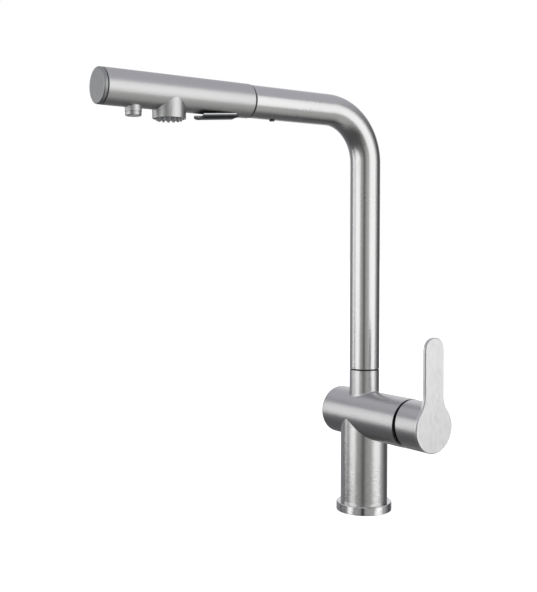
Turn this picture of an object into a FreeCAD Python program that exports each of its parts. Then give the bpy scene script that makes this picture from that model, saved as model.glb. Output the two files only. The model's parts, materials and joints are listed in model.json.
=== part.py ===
"""Pull-out kitchen mixer with an L-shaped swivel spout, a side lever and a twin-outlet spray head.

Frame: millimetres, +Z up, origin on the column's axis at the deck plane.  The spout points
along -Y and the lever is on the +X side.  Three axes carry everything:
  the column's axis (Z), the cross tube's axis (X, at cross_height) and the spray axis
  (-Y, at spout_height), so a station along an axis is a plain distance from the column.
"""
import FreeCAD, Part
import os
import re
from math import radians, sqrt

import Sketcher
from FreeCAD import Placement, Rotation, Vector

os.makedirs("parts", exist_ok=True)
doc = FreeCAD.newDocument("pull_out_mixer")

# --------------------------------------------------------------------------- driving dimensions

SIZES = {
    # column, cross tube and neck: one welded steel body
    "body_diameter": 44.4,
    "body_wall": 2.2,
    "cross_wall": 2.2,
    "cross_height": 91.5,
    "cross_back": 38.0,
    "cross_front": 63.0,
    "cross_back_round": 3.0,
    "neck_rise": 42.3,
    "neck_wall": 2.2,
    "neck_foot_round": 1.6,
    "edge_break": 0.4,
    # base ring and deck seal
    "ring_overhang": 4.05,
    "ring_height": 8.0,
    "ring_break": 0.6,
    "ring_lip": 1.0,
    "gasket_width": 1.6,
    "gasket_height": 1.6,
    # brass foot with the ports and stud holes
    "foot_height": 14.0,
    "foot_lift": 0.3,
    "port_radius": 4.75,
    "port_depth": 7.0,
    "port_forward": 10.7,
    "port_side": 9.0,
    "stud_hole_radius": 2.5,
    "stud_hole_depth": 10.0,
    "stud_back": 13.5,
    "stud_side": 7.0,
    "outlet_forward": 15.0,
    "hose_passage_radius": 8.0,
    # copper tubes inside the column
    "pipe_diameter": 8.0,
    "pipe_wall": 1.0,
    "pipe_bend": 9.0,
    "outlet_bend": 6.5,
    "inlet_rise": 3.0,
    "outlet_drop": 9.5,
    "pipe_seat": 3.0,
    "outlet_seat": 7.0,
    # valve housing and cartridge in the cross tube
    "valve_depth": 41.0,
    "valve_floor": 7.0,
    "valve_wall": 2.6,
    "valve_inset": 2.0,
    "cartridge_diameter": 35.0,
    "cartridge_base_height": 5.0,
    "cartridge_length": 22.0,
    "cartridge_wall": 2.0,
    "cartridge_mouth": 20.0,
    "disc_height": 4.0,
    "moving_disc_diameter": 22.0,
    "carrier_nose": 18.0,
    "carrier_proud": 1.0,
    "carrier_lip": 0.6,
    "carrier_floor": 1.0,
    "seal_section": 1.6,
    "seal_width": 1.3,
    "seal_overhang": 0.5,
    "nut_length": 6.0,
    "nut_bore": 22.0,
    "trim_overlap": 0.7,
    "trim_proud": 2.6,
    "trim_front_bore": 24.0,
    "trim_inset": 0.5,
    "trim_step": 0.2,
    "trim_slope": 1.5,
    # lever handle
    "sleeve_inset": 0.4,
    "sleeve_wall": 2.0,
    "gap_top": 1.6,
    "gap_bottom": 5.2,
    "handle_length": 30.0,
    "plate_thickness": 3.0,
    "plate_inset": 0.1,
    "plate_break": 0.7,
    "blade_width": 23.0,
    "blade_top": 79.8,
    "blade_flare": 25.0,
    "pivot_depth": 17.0,
    "stem_width": 9.0,
    "stem_tail": 2.4,
    "stem_reach": 23.0,
    "stem_slot": 9.2,
    "stem_pin_diameter": 3.0,
    "stem_pin_inset": 1.0,
    "boss_diameter": 18.0,
    "boss_gap": 12.0,
    "grub_diameter": 5.0,
    "grub_length": 6.0,
    "grub_place": 18.0,
    "plug_diameter": 6.0,
    "plug_length": 1.6,
    "plug_inset": 0.3,
    # swivel joint in the neck
    "swivel_gap": 1.2,
    "bush_length": 20.8,
    "bush_wall": 1.4,
    "journal_wall": 2.0,
    "journal_below": 25.2,
    "journal_above": 26.2,
    "washer_inset": 0.6,
    "o_ring_section": 1.2,
    "o_ring_low_depth": 16.8,
    "o_ring_high_depth": 4.3,
    "stop_depth": 10.8,
    "stop_diameter": 4.0,
    "stop_reach": 1.0,
    "stop_inset": 0.2,
    "stop_clearance": 0.15,
    "swivel_each_way": 60.0,
    "stop_slack": 1.0,
    "clip_height": 1.2,
    "clip_drop": 0.4,
    "clip_depth": 1.0,
    "clip_inset": 1.0,
    "clip_opening": 6.0,
    # spout
    "spout_diameter": 28.0,
    "spout_wall": 1.5,
    "spout_height": 374.0,
    "spout_bend": 46.0,
    "spout_mouth": 131.6,
    # dock in the spout's mouth
    "dock_length": 33.6,
    "dock_bore": 20.4,
    "dock_lead": 0.8,
    "dock_lead_length": 1.5,
    "dock_back_lead": 1.0,
    "dock_back_lead_length": 2.0,
    "dock_screw_depth": 24.6,
    "dock_screw_diameter": 4.6,
    "dock_screw_proud": 1.0,
    "dock_screw_inset": 0.2,
    "joint_ring_width": 1.4,
    "joint_ring_inset": 0.7,
    # hose through the column and spout
    "hose_diameter": 12.0,
    "hose_foot": 1.0,
    "hose_end_depth": 16.6,
    "fitting_depth": 30.6,
    "fitting_length": 20.0,
    "fitting_diameter": 16.4,
    "fitting_bore": 8.0,
    "fitting_break": 0.6,
    "washer_height": 1.6,
    # spray head
    "head_step": 0.5,
    "head_wall": 1.2,
    "head_length": 136.0,
    "head_break": 0.35,
    "stud_diameter": 19.8,
    "stud_inset": 2.0,
    "stud_break": 0.5,
    "stud_nose": 10.4,
    "stud_water_bore": 11.0,
    "dock_ring_depth": 21.6,
    "valve_cartridge_diameter": 10.8,
    "valve_cartridge_length": 14.0,
    "valve_cartridge_inset": 1.0,
    "valve_cartridge_hole": 3.0,
    "waterway_start": 7.4,
    "waterway_end_gap": 6.6,
    "cap_seal_width": 1.0,
    "cap_seal_inset": 0.7,
    "cap_length": 3.0,
    "cap_inset": 0.15,
    "cap_round": 1.4,
    "cap_spigot": 5.0,
    # outlets under the head
    "stream_back": 27.1,
    "stream_diameter": 13.4,
    "stream_proud": 3.1,
    "stream_wall": 0.9,
    "stream_ring_height": 3.0,
    "stream_ring_diameter": 13.0,
    "stream_ring_gap": 0.4,
    "stream_ring_thread": 1.9,
    "stream_ring_break": 0.5,
    "stream_ring_lip": 0.6,
    "stream_boss_inset": 2.0,
    "aerator_diameter": 9.6,
    "aerator_height": 7.0,
    "aerator_recess": 0.6,
    "aerator_hole": 0.9,
    "aerator_rim": 1.15,
    "aerator_seal_width": 1.2,
    "spray_back": 59.1,
    "spray_diameter": 27.2,
    "spray_proud": 6.2,
    "spray_wall": 1.0,
    "spray_recess": 0.8,
    "spray_plate_height": 2.4,
    "nozzle_mat_height": 1.6,
    "nozzle_diameter": 1.9,
    "nozzle_proud": 1.8,
    "nozzle_margin": 3.0,
    "middle_ring_share": 0.646,
    "inner_ring_share": 0.292,
    # diverter lever under the head
    "lever_pivot_place": 18.4,
    "lever_pivot_inset": 3.3,
    "lever_length": 31.0,
    "lever_heel": 1.0,
    "lever_width": 16.6,
    "lever_skin": 2.0,
    "lever_gap": 0.4,
    "lever_open": 5.0,
    "knuckle_width": 7.6,
    "knuckle_diameter": 5.8,
    "knuckle_web": 6.0,
    "pocket_heel": 5.6,
    "pocket_depth": 6.5,
    "cover_length": 2.1,
    "cover_proud": 0.7,
    "cover_inset": 2.0,
    "pocket_length": 13.0,
    "pocket_width": 9.0,
    "lever_pin_diameter": 2.0,
    "lever_pin_length": 10.0,
    "lever_pin_gap": 0.2,
    "spool_arm": 9.0,
    "spool_diameter": 5.0,
    "spool_length": 11.0,
    "spool_tip": 1.6,
    "spool_tip_length": 1.5,
    "spool_lift_gap": 0.15,
    # clearances
    "fit_gap": 0.05,
    "running_gap": 0.08,
    "soft_gap": 0.3,
    # how far a cutting tool runs past the face that it opens
    "overcut": 1.0,
}

# Places and sizes that follow from the driving dimensions.
DERIVED = {
    "cross_diameter": "cartridge_diameter + 2 * ( valve_wall + 2 * fit_gap + cross_wall )",
    "trim_diameter": "cartridge_diameter + 2 * trim_overlap",
    "sleeve_diameter": "cross_diameter - 2 * sleeve_inset",
    "plate_disc_diameter": "sleeve_diameter - 2 * plate_inset",
    "ring_diameter": "body_diameter + 2 * ring_overhang",
    "neck_height": "cross_height + neck_rise",
    "valve_back": "cross_front - valve_depth",
    "plate_outer": "cross_front + handle_length",
    "pivot_forward": "cross_front - pivot_depth",
    "stem_end": "cross_front + stem_reach",
    "boss_back": "cross_front + boss_gap",
    "grub_forward": "cross_front + grub_place",
    "bush_foot": "neck_height - bush_length",
    "journal_foot": "neck_height - journal_below",
    "journal_head": "neck_height + journal_above",
    "o_ring_low": "neck_height - o_ring_low_depth",
    "o_ring_high": "neck_height - o_ring_high_depth",
    "stop_height": "neck_height - stop_depth",
    "dock_back": "spout_mouth - dock_length",
    "dock_screw_reach": "spout_mouth - dock_screw_depth",
    "dock_ring_reach": "spout_mouth - dock_ring_depth",
    "hose_end": "spout_mouth - hose_end_depth",
    "fitting_back": "spout_mouth - fitting_depth",
    "fitting_front": "fitting_back + fitting_length",
    "head_diameter": "spout_diameter + 2 * head_step",
    "head_front": "spout_mouth + head_length",
    "stud_front": "spout_mouth + stud_nose",
    "waterway_back": "spout_mouth + waterway_start",
    "waterway_front": "head_front - waterway_end_gap",
    "stream_reach": "head_front - stream_back",
    "stream_drop": "head_diameter / 2 + stream_proud",
    "spray_reach": "head_front - spray_back",
    "spray_drop": "head_diameter / 2 + spray_proud",
    "nozzle_outer_ring": "spray_diameter / 2 - spray_wall - nozzle_margin",
    "nozzle_middle_ring": "nozzle_outer_ring * middle_ring_share",
    "nozzle_inner_ring": "nozzle_outer_ring * inner_ring_share",
    "lever_pivot_reach": "spout_mouth + lever_pivot_place",
    "lever_pivot_drop": "head_diameter / 2 - lever_pivot_inset",
    "lever_front": "lever_pivot_reach + lever_length",
    "lever_back": "lever_pivot_reach - lever_heel",
    "pocket_back": "lever_pivot_reach - pocket_heel",
    "pocket_front": "lever_pivot_reach + pocket_length",
    "pocket_top": "head_diameter / 2 - pocket_depth",
    "spool_reach": "lever_pivot_reach + spool_arm",
}

sheet = doc.addObject("Spreadsheet::Sheet", "Sizes")
for row, (alias, number) in enumerate(SIZES.items(), start=1):
    sheet.set("A%d" % row, alias)
    sheet.set("B%d" % row, str(number))
    sheet.setAlias("B%d" % row, alias)
doc.recompute()


def expanded(text):
    """Replace derived names by what they stand for, until only driving dimensions are left."""
    spelt = re.sub("[a-z_]+", lambda word: (
        "( %s )" % DERIVED[word.group()] if word.group() in DERIVED else word.group()), text)
    return spelt if spelt == text else expanded(spelt)


def formula(text):
    """Write an expression's bare names as references to the sheet."""
    return re.sub("[a-z_]+", lambda word: (
        "Sizes." + word.group() if word.group() in SIZES else word.group()), expanded(text))


def size(text):
    """The number that a dimension or an expression of dimensions gives."""
    return float(sheet.evalExpression(expanded(text)))


def drive(piece, **bound):
    """Bind properties to expressions; a double underscore stands for a dot in the name."""
    for name, text in bound.items():
        piece.setExpression(name.replace("__", "."), formula(text))


# --------------------------------------------------------------------------- building functions

AXES = {
    "column": (Rotation(), ("0", "0", "0")),
    "cross": (Rotation(Vector(0, 1, 0), 90), ("0", "0", "cross_height")),
    "spray": (Rotation(Vector(1, 0, 0), 90), ("0", "0", "spout_height")),
    "stream": (Rotation(Vector(1, 0, 0), 180), ("0", "0 - stream_reach", "spout_height")),
    "shower": (Rotation(Vector(1, 0, 0), 180), ("0", "0 - spray_reach", "spout_height")),
    "spool": (Rotation(Vector(1, 0, 0), 180), ("0", "0 - spool_reach", "spout_height")),
}


def put(piece, axis, across="0", up="0", along="0"):
    """Stand a piece on one of the axes, so its own Z runs along it, moved in its own frame."""
    turn, base = AXES[axis]
    piece.Placement = Placement(Vector(), turn)
    own = [turn.multVec(Vector(*unit)) for unit in ((1, 0, 0), (0, 1, 0), (0, 0, 1))]
    for index, letter in enumerate("xyz"):
        terms = [base[index]]
        for direction, move in zip(own, (across, up, along)):
            sign = round(direction[index])
            if sign and move != "0":
                terms.append("%d * ( %s )" % (sign, move))
        piece.setExpression("Placement.Base." + letter, formula(" + ".join(terms)))
    return piece


def origin_plane(body, role):
    return next(item for item in body.Origin.OriginFeatures if item.Role == role)


def sketch_on(body, role, name):
    sketch = body.newObject("Sketcher::SketchObject", name)
    sketch.AttachmentSupport = [(origin_plane(body, role), "")]
    sketch.MapMode = "FlatFace"
    return sketch


def bind(sketch, kind, *item):
    """Add a constraint whose last item is an expression."""
    number = size(item[-1])
    index = sketch.addConstraint(Sketcher.Constraint(kind, *item[:-1], number))
    sketch.setExpression("Constraints[%d]" % index, formula(item[-1]))


def outline(sketch, corners):
    """Draw a closed polygon whose corners are pairs of expressions."""
    points = [Vector(size(across), size(up), 0) for across, up in corners]
    for start, end in zip(points, points[1:] + points[:1]):
        sketch.addGeometry(Part.LineSegment(start, end), False)
    for line in range(len(points)):
        following = (line + 1) % len(points)
        sketch.addConstraint(Sketcher.Constraint("Coincident", line, 2, following, 1))
    for line, (across, up) in enumerate(corners):
        bind(sketch, "DistanceX", -1, 1, line, 1, across)
        bind(sketch, "DistanceY", -1, 1, line, 1, up)


def turned(label, axis, corners):
    """A turned piece: (radius, station) corners revolved about one of the three axes."""
    body = doc.addObject("PartDesign::Body", label)
    sketch = sketch_on(body, "XZ_Plane", label + "_section")
    outline(sketch, corners)
    turn = body.newObject("PartDesign::Revolution", label + "_turn")
    turn.Profile = sketch
    turn.ReferenceAxis = (sketch, ["V_Axis"])
    turn.Angle = 360.0
    sketch.Visibility = False
    return put(body, axis)


def tube(label, axis, outer, inner, start, end):
    """A plain ring or tube between two stations."""
    return turned(label, axis, [(inner, start), (outer, start), (outer, end), (inner, end)])


def rod(label, axis, radius, start, end, across="0", up="0"):
    """A plain cylinder between two stations of an axis, or beside it."""
    piece = doc.addObject("Part::Cylinder", label)
    drive(piece, Radius=radius, Height="( %s ) - ( %s )" % (end, start))
    return put(piece, axis, across, up, start)


def block(label, low, high):
    """A box between two corners, each three expressions in the model's own frame."""
    piece = doc.addObject("Part::Box", label)
    for letter, side, start, end in zip("xyz", ("Length", "Width", "Height"), low, high):
        piece.setExpression(side, formula("( %s ) - ( %s )" % (end, start)))
        piece.setExpression("Placement.Base." + letter, formula(start))
    return piece


def joined(label, pieces):
    fuse = doc.addObject("Part::MultiFuse", label)
    fuse.Shapes = pieces
    fuse.Refine = True
    return fuse


def cut(label, base, tools):
    """Take one or more tools away from a base."""
    result = doc.addObject("Part::Cut", label)
    result.Base = base
    result.Tool = tools[0] if len(tools) == 1 else joined(label + "_tools", tools)
    result.Refine = True
    return result


def edges_where(shape, test):
    """Numbers of the edges whose every sampled point passes the test."""
    found = []
    for number, edge in enumerate(shape.Edges, start=1):
        span = edge.LastParameter - edge.FirstParameter
        points = [edge.valueAt(edge.FirstParameter + span * part / 6) for part in range(7)]
        if all(test(point) for point in points):
            found.append(number)
    return found


def rounded(label, base, choices):
    """Round chosen edges: choices is a list of (test, radius)."""
    doc.recompute()
    result = doc.addObject("Part::Fillet", label)
    result.Base = base
    result.Edges = [
        (number, radius, radius)
        for test, radius in choices
        for number in edges_where(base.Shape, test)
    ]
    return result


def near(first, second):
    return abs(first - second) < 0.01


KEPT = []


def keep(*pieces):
    """Mark finished sub-parts: each is written to a file of its own name."""
    KEPT.extend(pieces)
    return pieces[0]


# --------------------------------------------------------------------------- column, cross, neck


def column_tube():
    """The column: a steel tube whose top is cut to sit against the cross tube."""
    stock = rod("column_stock", "column", "body_diameter / 2", "0", "cross_height")
    bore = rod("column_bore", "column", "body_diameter / 2 - body_wall", "0 - overcut",
               "cross_height + overcut")
    saddle = rod("column_saddle", "cross", "cross_diameter / 2", "0 - body_diameter",
                 "body_diameter")
    return cut("column_tube", stock, [bore, saddle])


def cross_body():
    """The cross tube, closed at the back, with the neck welded on and open to the column."""
    cross = rod("cross_stock", "cross", "cross_diameter / 2", "0 - cross_back", "cross_front")
    neck = rod("neck_stock", "column", "spout_diameter / 2", "cross_height", "neck_height")
    stock = joined("cross_and_neck", [cross, neck])
    neck_radius = size("spout_diameter") / 2
    cross_radius = size("cross_diameter") / 2
    axis_height = size("cross_height")

    def at_neck_foot(point):
        on_neck = near(sqrt(point.x**2 + point.y**2), neck_radius)
        return on_neck and near(sqrt(point.y**2 + (point.z - axis_height) ** 2), cross_radius)

    def at_back(point):
        return near(point.x, -size("cross_back"))

    shape = rounded("cross_rounded", stock, [
        (at_neck_foot, size("neck_foot_round")),
        (at_back, size("cross_back_round")),
    ])
    cross_bore = rod(
        "cross_bore", "cross", "cross_diameter / 2 - cross_wall",
        "cross_wall - cross_back", "cross_front + overcut",
    )
    neck_bore = rod("neck_bore", "column", "spout_diameter / 2 - neck_wall", "cross_height",
                    "neck_height + overcut")
    column_opening = rod("column_opening", "column", "body_diameter / 2 - body_wall",
                         "cross_height - cross_diameter", "cross_height")
    stop_hole = rod(
        "stop_hole", "spray", "stop_diameter / 2", "0 - spout_diameter", "0",
        up="stop_height - spout_height",
    )
    return cut("cross_body", shape, [cross_bore, neck_bore, column_opening, stop_hole])


def base_ring():
    """The polished ring at the foot, with a groove under it for the deck seal."""
    return turned("base_ring", "column", [
        ("body_diameter / 2 + fit_gap", "0"),
        ("ring_diameter / 2 - ring_lip - gasket_width - fit_gap", "0"),
        ("ring_diameter / 2 - ring_lip - gasket_width - fit_gap", "gasket_height + fit_gap"),
        ("ring_diameter / 2 - ring_lip + fit_gap", "gasket_height + fit_gap"),
        ("ring_diameter / 2 - ring_lip + fit_gap", "0"),
        ("ring_diameter / 2 - ring_break / 2", "0"),
        ("ring_diameter / 2", "ring_break / 2"),
        ("ring_diameter / 2", "ring_height - ring_break"),
        ("ring_diameter / 2 - ring_break", "ring_height"),
        ("body_diameter / 2 + fit_gap", "ring_height"),
    ])


def brass_foot():
    """The brass foot in the column: hose passage, two supply ports, outlet bore, stud holes."""
    blank = rod(
        "foot_blank", "column", "body_diameter / 2 - body_wall - fit_gap", "foot_lift",
        "foot_height",
    )
    tools = [rod("foot_passage", "column", "hose_passage_radius", "0", "foot_height + overcut")]
    tools.append(rod(
        "foot_outlet", "column", "pipe_diameter / 2 + fit_gap", "foot_height - outlet_seat",
        "foot_height + overcut", across="outlet_forward",
    ))
    tools.append(rod(
        "foot_outlet_bore", "column", "pipe_diameter / 2 - pipe_wall", "0",
        "foot_height", across="outlet_forward",
    ))
    for side, sign in (("left", "0 - "), ("right", "")):
        tools.append(rod(
            "port_" + side, "column", "port_radius", "0", "foot_lift + port_depth",
            across="port_forward", up=sign + "port_side",
        ))
        tools.append(rod(
            "port_bore_" + side, "column", "pipe_diameter / 2 - pipe_wall", "0",
            "foot_height", across="port_forward", up=sign + "port_side",
        ))
        tools.append(rod(
            "pipe_seat_" + side, "column", "pipe_diameter / 2 + fit_gap",
            "foot_height - pipe_seat", "foot_height + overcut",
            across="port_forward", up=sign + "port_side",
        ))
        tools.append(rod(
            "stud_hole_" + side, "column", "stud_hole_radius", "0", "foot_lift + stud_hole_depth",
            across="0 - stud_back", up=sign + "stud_side",
        ))
    return cut("brass_foot", blank, tools)


def bent_run(label, role, start, foot, level, bend, end, radii):
    """A round bar or tube that rises, turns once and runs on level, in one of two planes.

    In XZ_Plane it turns towards +X and in YZ_Plane towards -Y; end is signed to match.
    """
    forward = 1 if role == "XZ_Plane" else -1
    body = doc.addObject("PartDesign::Body", label)
    path = sketch_on(body, role, label + "_path")
    start_at, foot_at, level_at = size(start), size(foot), size(level)
    radius, end_at = size(bend), size(end)
    centre = Vector(start_at + forward * radius, level_at - radius, 0)
    first_angle = radians(90 if forward > 0 else 0)
    turn = Part.ArcOfCircle(
        Part.Circle(centre, Vector(0, 0, 1), radius), first_angle, first_angle + radians(90)
    )
    path.addGeometry([
        Part.LineSegment(Vector(start_at, foot_at, 0), Vector(start_at, centre.y, 0)),
        turn,
        Part.LineSegment(Vector(centre.x, level_at, 0), Vector(end_at, level_at, 0)),
    ], False)
    low_end, high_end = (2, 1) if forward > 0 else (1, 2)
    path.addConstraint(Sketcher.Constraint("Tangent", 0, 2, 1, low_end))
    path.addConstraint(Sketcher.Constraint("Tangent", 1, high_end, 2, 1))
    path.addConstraint(Sketcher.Constraint("Vertical", 0))
    path.addConstraint(Sketcher.Constraint("Horizontal", 2))
    bind(path, "DistanceX", -1, 1, 0, 1, start)
    bind(path, "DistanceY", -1, 1, 0, 1, foot)
    bind(path, "DistanceY", -1, 1, 2, 2, level)
    bind(path, "DistanceX", -1, 1, 2, 2, end)
    bind(path, "Radius", 1, bend)
    ring = sketch_on(body, "XY_Plane", label + "_ring")
    ring.setExpression("AttachmentOffset.Base.z", formula(foot))
    for number, radius_text in enumerate(radii):
        circle = Part.Circle(Vector(start_at, 0, 0), Vector(0, 0, 1), size(radius_text))
        ring.addGeometry(circle, False)
        bind(ring, "DistanceX", -1, 1, number, 3, start)
        ring.addConstraint(Sketcher.Constraint("PointOnObject", number, 3, -1))
        bind(ring, "Radius", number, radius_text)
    sweep = body.newObject("PartDesign::AdditivePipe", label + "_sweep")
    sweep.Profile = ring
    sweep.Spine = (path, ["Edge1", "Edge2", "Edge3"])
    return body


PIPE_RADII = ("pipe_diameter / 2", "pipe_diameter / 2 - pipe_wall")


def supply_pipe(label, side):
    """A copper tube from a supply port up to the valve housing."""
    pipe = bent_run(label, "XZ_Plane", "port_forward", "foot_height - pipe_seat + fit_gap",
                    "cross_height + inlet_rise", "pipe_bend",
                    "valve_back + pipe_seat - fit_gap", PIPE_RADII)
    pipe.setExpression("Placement.Base.y", formula(side))
    return pipe


def outlet_pipe():
    """The copper tube that takes the mixed water back down to the foot."""
    return bent_run("outlet_pipe", "XZ_Plane", "outlet_forward",
                    "foot_height - outlet_seat + fit_gap", "cross_height - outlet_drop",
                    "outlet_bend", "valve_back + pipe_seat - fit_gap", PIPE_RADII)


def deck_gasket():
    """The flat rubber seal in the groove under the base ring."""
    outer = "( ring_diameter / 2 - ring_lip )"
    return tube("deck_gasket", "column", outer, outer + " - gasket_width", "0", "gasket_height")


# --------------------------------------------------------------------------- valve and cartridge

VALVE_FRONT = "cross_front - valve_inset"
CARTRIDGE_BACK = "valve_back + valve_floor"
CARTRIDGE_FRONT = "valve_back + valve_floor + cartridge_length"


def port_bores(name, radius, start, end):
    """Three bores through a plate of the valve: two inlets above, the outlet below."""
    spots = (
        ("hot", "0 - port_side", "inlet_rise"),
        ("cold", "port_side", "inlet_rise"),
        ("out", "0", "0 - outlet_drop"),
    )
    return [
        rod(name + "_" + spot, "cross", radius, start, end, across="0 - ( %s )" % rise, up=side)
        for spot, side, rise in spots
    ]


def valve_housing():
    """The brass cup soldered into the cross tube, which holds the cartridge."""
    blank = turned("valve_blank", "cross", [
        ("0", "valve_back"),
        ("cross_diameter / 2 - cross_wall - fit_gap", "valve_back"),
        ("cross_diameter / 2 - cross_wall - fit_gap", VALVE_FRONT),
        ("cartridge_diameter / 2 + fit_gap", VALVE_FRONT),
        ("cartridge_diameter / 2 + fit_gap", CARTRIDGE_BACK),
        ("0", CARTRIDGE_BACK),
    ])
    seats = port_bores("valve_seat", "pipe_diameter / 2 + fit_gap", "valve_back - overcut",
                       "valve_back + pipe_seat")
    bores = port_bores("valve_bore", "pipe_diameter / 2 - pipe_wall", "valve_back",
                       CARTRIDGE_BACK + " + overcut")
    return cut("valve_housing", blank, seats + bores)


def cartridge_base():
    """The cartridge's plastic base, with a seal groove round each port."""
    blank = rod(
        "cartridge_base_stock", "cross", "cartridge_diameter / 2",
        CARTRIDGE_BACK, CARTRIDGE_BACK + " + cartridge_base_height",
    )
    bores = port_bores("base_bore", "pipe_diameter / 2 - pipe_wall", CARTRIDGE_BACK + " - overcut",
                       CARTRIDGE_BACK + " + cartridge_base_height + overcut")
    grooves = port_bores("base_groove", SEAL_OUTER, CARTRIDGE_BACK + " - overcut",
                         CARTRIDGE_BACK + " + seal_section")
    return cut("cartridge_base", blank, bores + grooves)


SEAL_OUTER = "pipe_diameter / 2 + seal_width"


def port_seals():
    """Three rubber rings between the cartridge and the housing floor."""
    rings = port_bores("seal_ring", SEAL_OUTER + " - fit_gap", CARTRIDGE_BACK,
                       CARTRIDGE_BACK + " + seal_section - fit_gap")
    holes = port_bores("seal_hole", "pipe_diameter / 2 - seal_overhang",
                       CARTRIDGE_BACK + " - overcut", CARTRIDGE_BACK + " + seal_section")
    return cut("port_seals", joined("seal_rings", rings), holes)


DISC_BACK = CARTRIDGE_BACK + " + cartridge_base_height"
HOUSING_BORE = "( cartridge_diameter / 2 - cartridge_wall )"


def fixed_ceramic_disc():
    """The ceramic disc that stays still, with the three ports through it."""
    blank = rod("fixed_disc_stock", "cross", HOUSING_BORE + " - fit_gap", DISC_BACK,
                DISC_BACK + " + disc_height")
    bores = port_bores("disc_bore", "pipe_diameter / 2 - pipe_wall", DISC_BACK + " - overcut",
                       DISC_BACK + " + disc_height + overcut")
    return cut("fixed_ceramic_disc", blank, bores)


def cartridge_housing():
    """The cartridge's shell: a ring round the discs with a lip that holds the carrier in."""
    return turned("cartridge_housing", "cross", [
        (HOUSING_BORE, DISC_BACK),
        ("cartridge_diameter / 2", DISC_BACK),
        ("cartridge_diameter / 2", CARTRIDGE_FRONT),
        ("cartridge_mouth / 2", CARTRIDGE_FRONT),
        ("cartridge_mouth / 2", CARTRIDGE_FRONT + " - cartridge_wall"),
        (HOUSING_BORE, CARTRIDGE_FRONT + " - cartridge_wall"),
    ])


def cartridge_nut():
    """The brass nut screwed into the housing, which presses the cartridge onto its seals."""
    return tube("cartridge_nut", "cross", "cartridge_diameter / 2 - fit_gap", "nut_bore / 2",
                CARTRIDGE_FRONT, CARTRIDGE_FRONT + " + nut_length")


def trim_ring():
    """The black ring in the gap between the body and the lever's sleeve."""
    back = CARTRIDGE_FRONT + " + nut_length"
    outer = "cartridge_diameter / 2 - trim_inset"
    return turned("trim_ring", "cross", [
        ("trim_front_bore / 2", back + " + trim_inset"),
        (outer, back),
        (outer, VALVE_FRONT),
        ("trim_diameter / 2", VALVE_FRONT + " + trim_step"),
        ("trim_diameter / 2", "cross_front + trim_proud"),
        ("trim_diameter / 2 - trim_slope", "cross_front + trim_proud + trim_slope"),
        ("trim_front_bore / 2", "cross_front + trim_proud + trim_slope"),
    ])


MOVING_BACK = DISC_BACK + " + disc_height"


def moving_ceramic_disc():
    """The ceramic disc that turns with the lever and opens the ports."""
    blank = rod("moving_disc_stock", "cross", "moving_disc_diameter / 2",
                MOVING_BACK + " + running_gap", MOVING_BACK + " + disc_height")
    hollow = rod("moving_disc_hollow", "cross", "moving_disc_diameter / 4",
                 MOVING_BACK, MOVING_BACK + " + disc_height / 2")
    return cut("moving_ceramic_disc", blank, [hollow])


def cartridge_carrier():
    """The plastic rotor that carries the moving disc and holds the stem's pin."""
    back = MOVING_BACK + " + disc_height + fit_gap"
    shoulder = CARTRIDGE_FRONT + " - cartridge_wall - soft_gap"
    blank = turned("carrier_blank", "cross", [
        ("0", back),
        (HOUSING_BORE + " - running_gap", back),
        (HOUSING_BORE + " - running_gap", shoulder),
        ("carrier_nose / 2", shoulder),
        ("carrier_nose / 2", CARTRIDGE_FRONT + " + carrier_proud"),
        ("0", CARTRIDGE_FRONT + " + carrier_proud"),
    ])
    half = "( stem_slot / 2 )"
    slot = block(
        "carrier_slot",
        (back + " + carrier_floor", "0 - " + half, "cross_height - carrier_nose / 2 + carrier_lip"),
        (CARTRIDGE_FRONT + " + carrier_proud + overcut", half,
         "cross_height + carrier_nose / 2 - carrier_lip"),
    )
    pin_hole = pin_rod("carrier_pin_hole", "stem_pin_diameter / 2 + running_gap",
                       HOUSING_BORE)
    return cut("cartridge_carrier", blank, [slot, pin_hole])


def pin_rod(label, radius, half_length):
    """A rod along Y through the lever's pivot."""
    piece = doc.addObject("Part::Cylinder", label)
    piece.Placement = Placement(Vector(), Rotation(Vector(1, 0, 0), 90))
    drive(piece, Radius=radius, Height="2 * ( %s )" % half_length,
          Placement__Base__x="pivot_forward", Placement__Base__y=half_length,
          Placement__Base__z="cross_height")
    return piece


def stem_pin():
    """The steel pin that the lever tilts on."""
    return pin_rod("stem_pin", "stem_pin_diameter / 2", HOUSING_BORE + " - stem_pin_inset")


# --------------------------------------------------------------------------- lever handle


def handle_stem():
    """The square brass stem, from the carrier's pin to the lever's boss."""
    half = "( stem_width / 2 )"
    bar = block(
        "stem_bar",
        ("pivot_forward - stem_tail", "0 - " + half, "cross_height - " + half),
        ("stem_end", half, "cross_height + " + half),
    )
    nose = cut("stem_nose", bar, [
        block(
            "stem_relief_" + name,
            ("pivot_forward - stem_tail - overcut", "0 - stem_width", low),
            (CARTRIDGE_FRONT + " + nut_length", "stem_width", high),
        )
        for name, low, high in (
            ("low", "cross_height - stem_width", "cross_height - stem_width / 3"),
            ("high", "cross_height + stem_width / 3", "cross_height + stem_width"),
        )
    ])
    hole = pin_rod("stem_pin_hole", "stem_pin_diameter / 2 + running_gap", "stem_width")
    return cut("handle_stem", nose, [hole])


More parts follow.
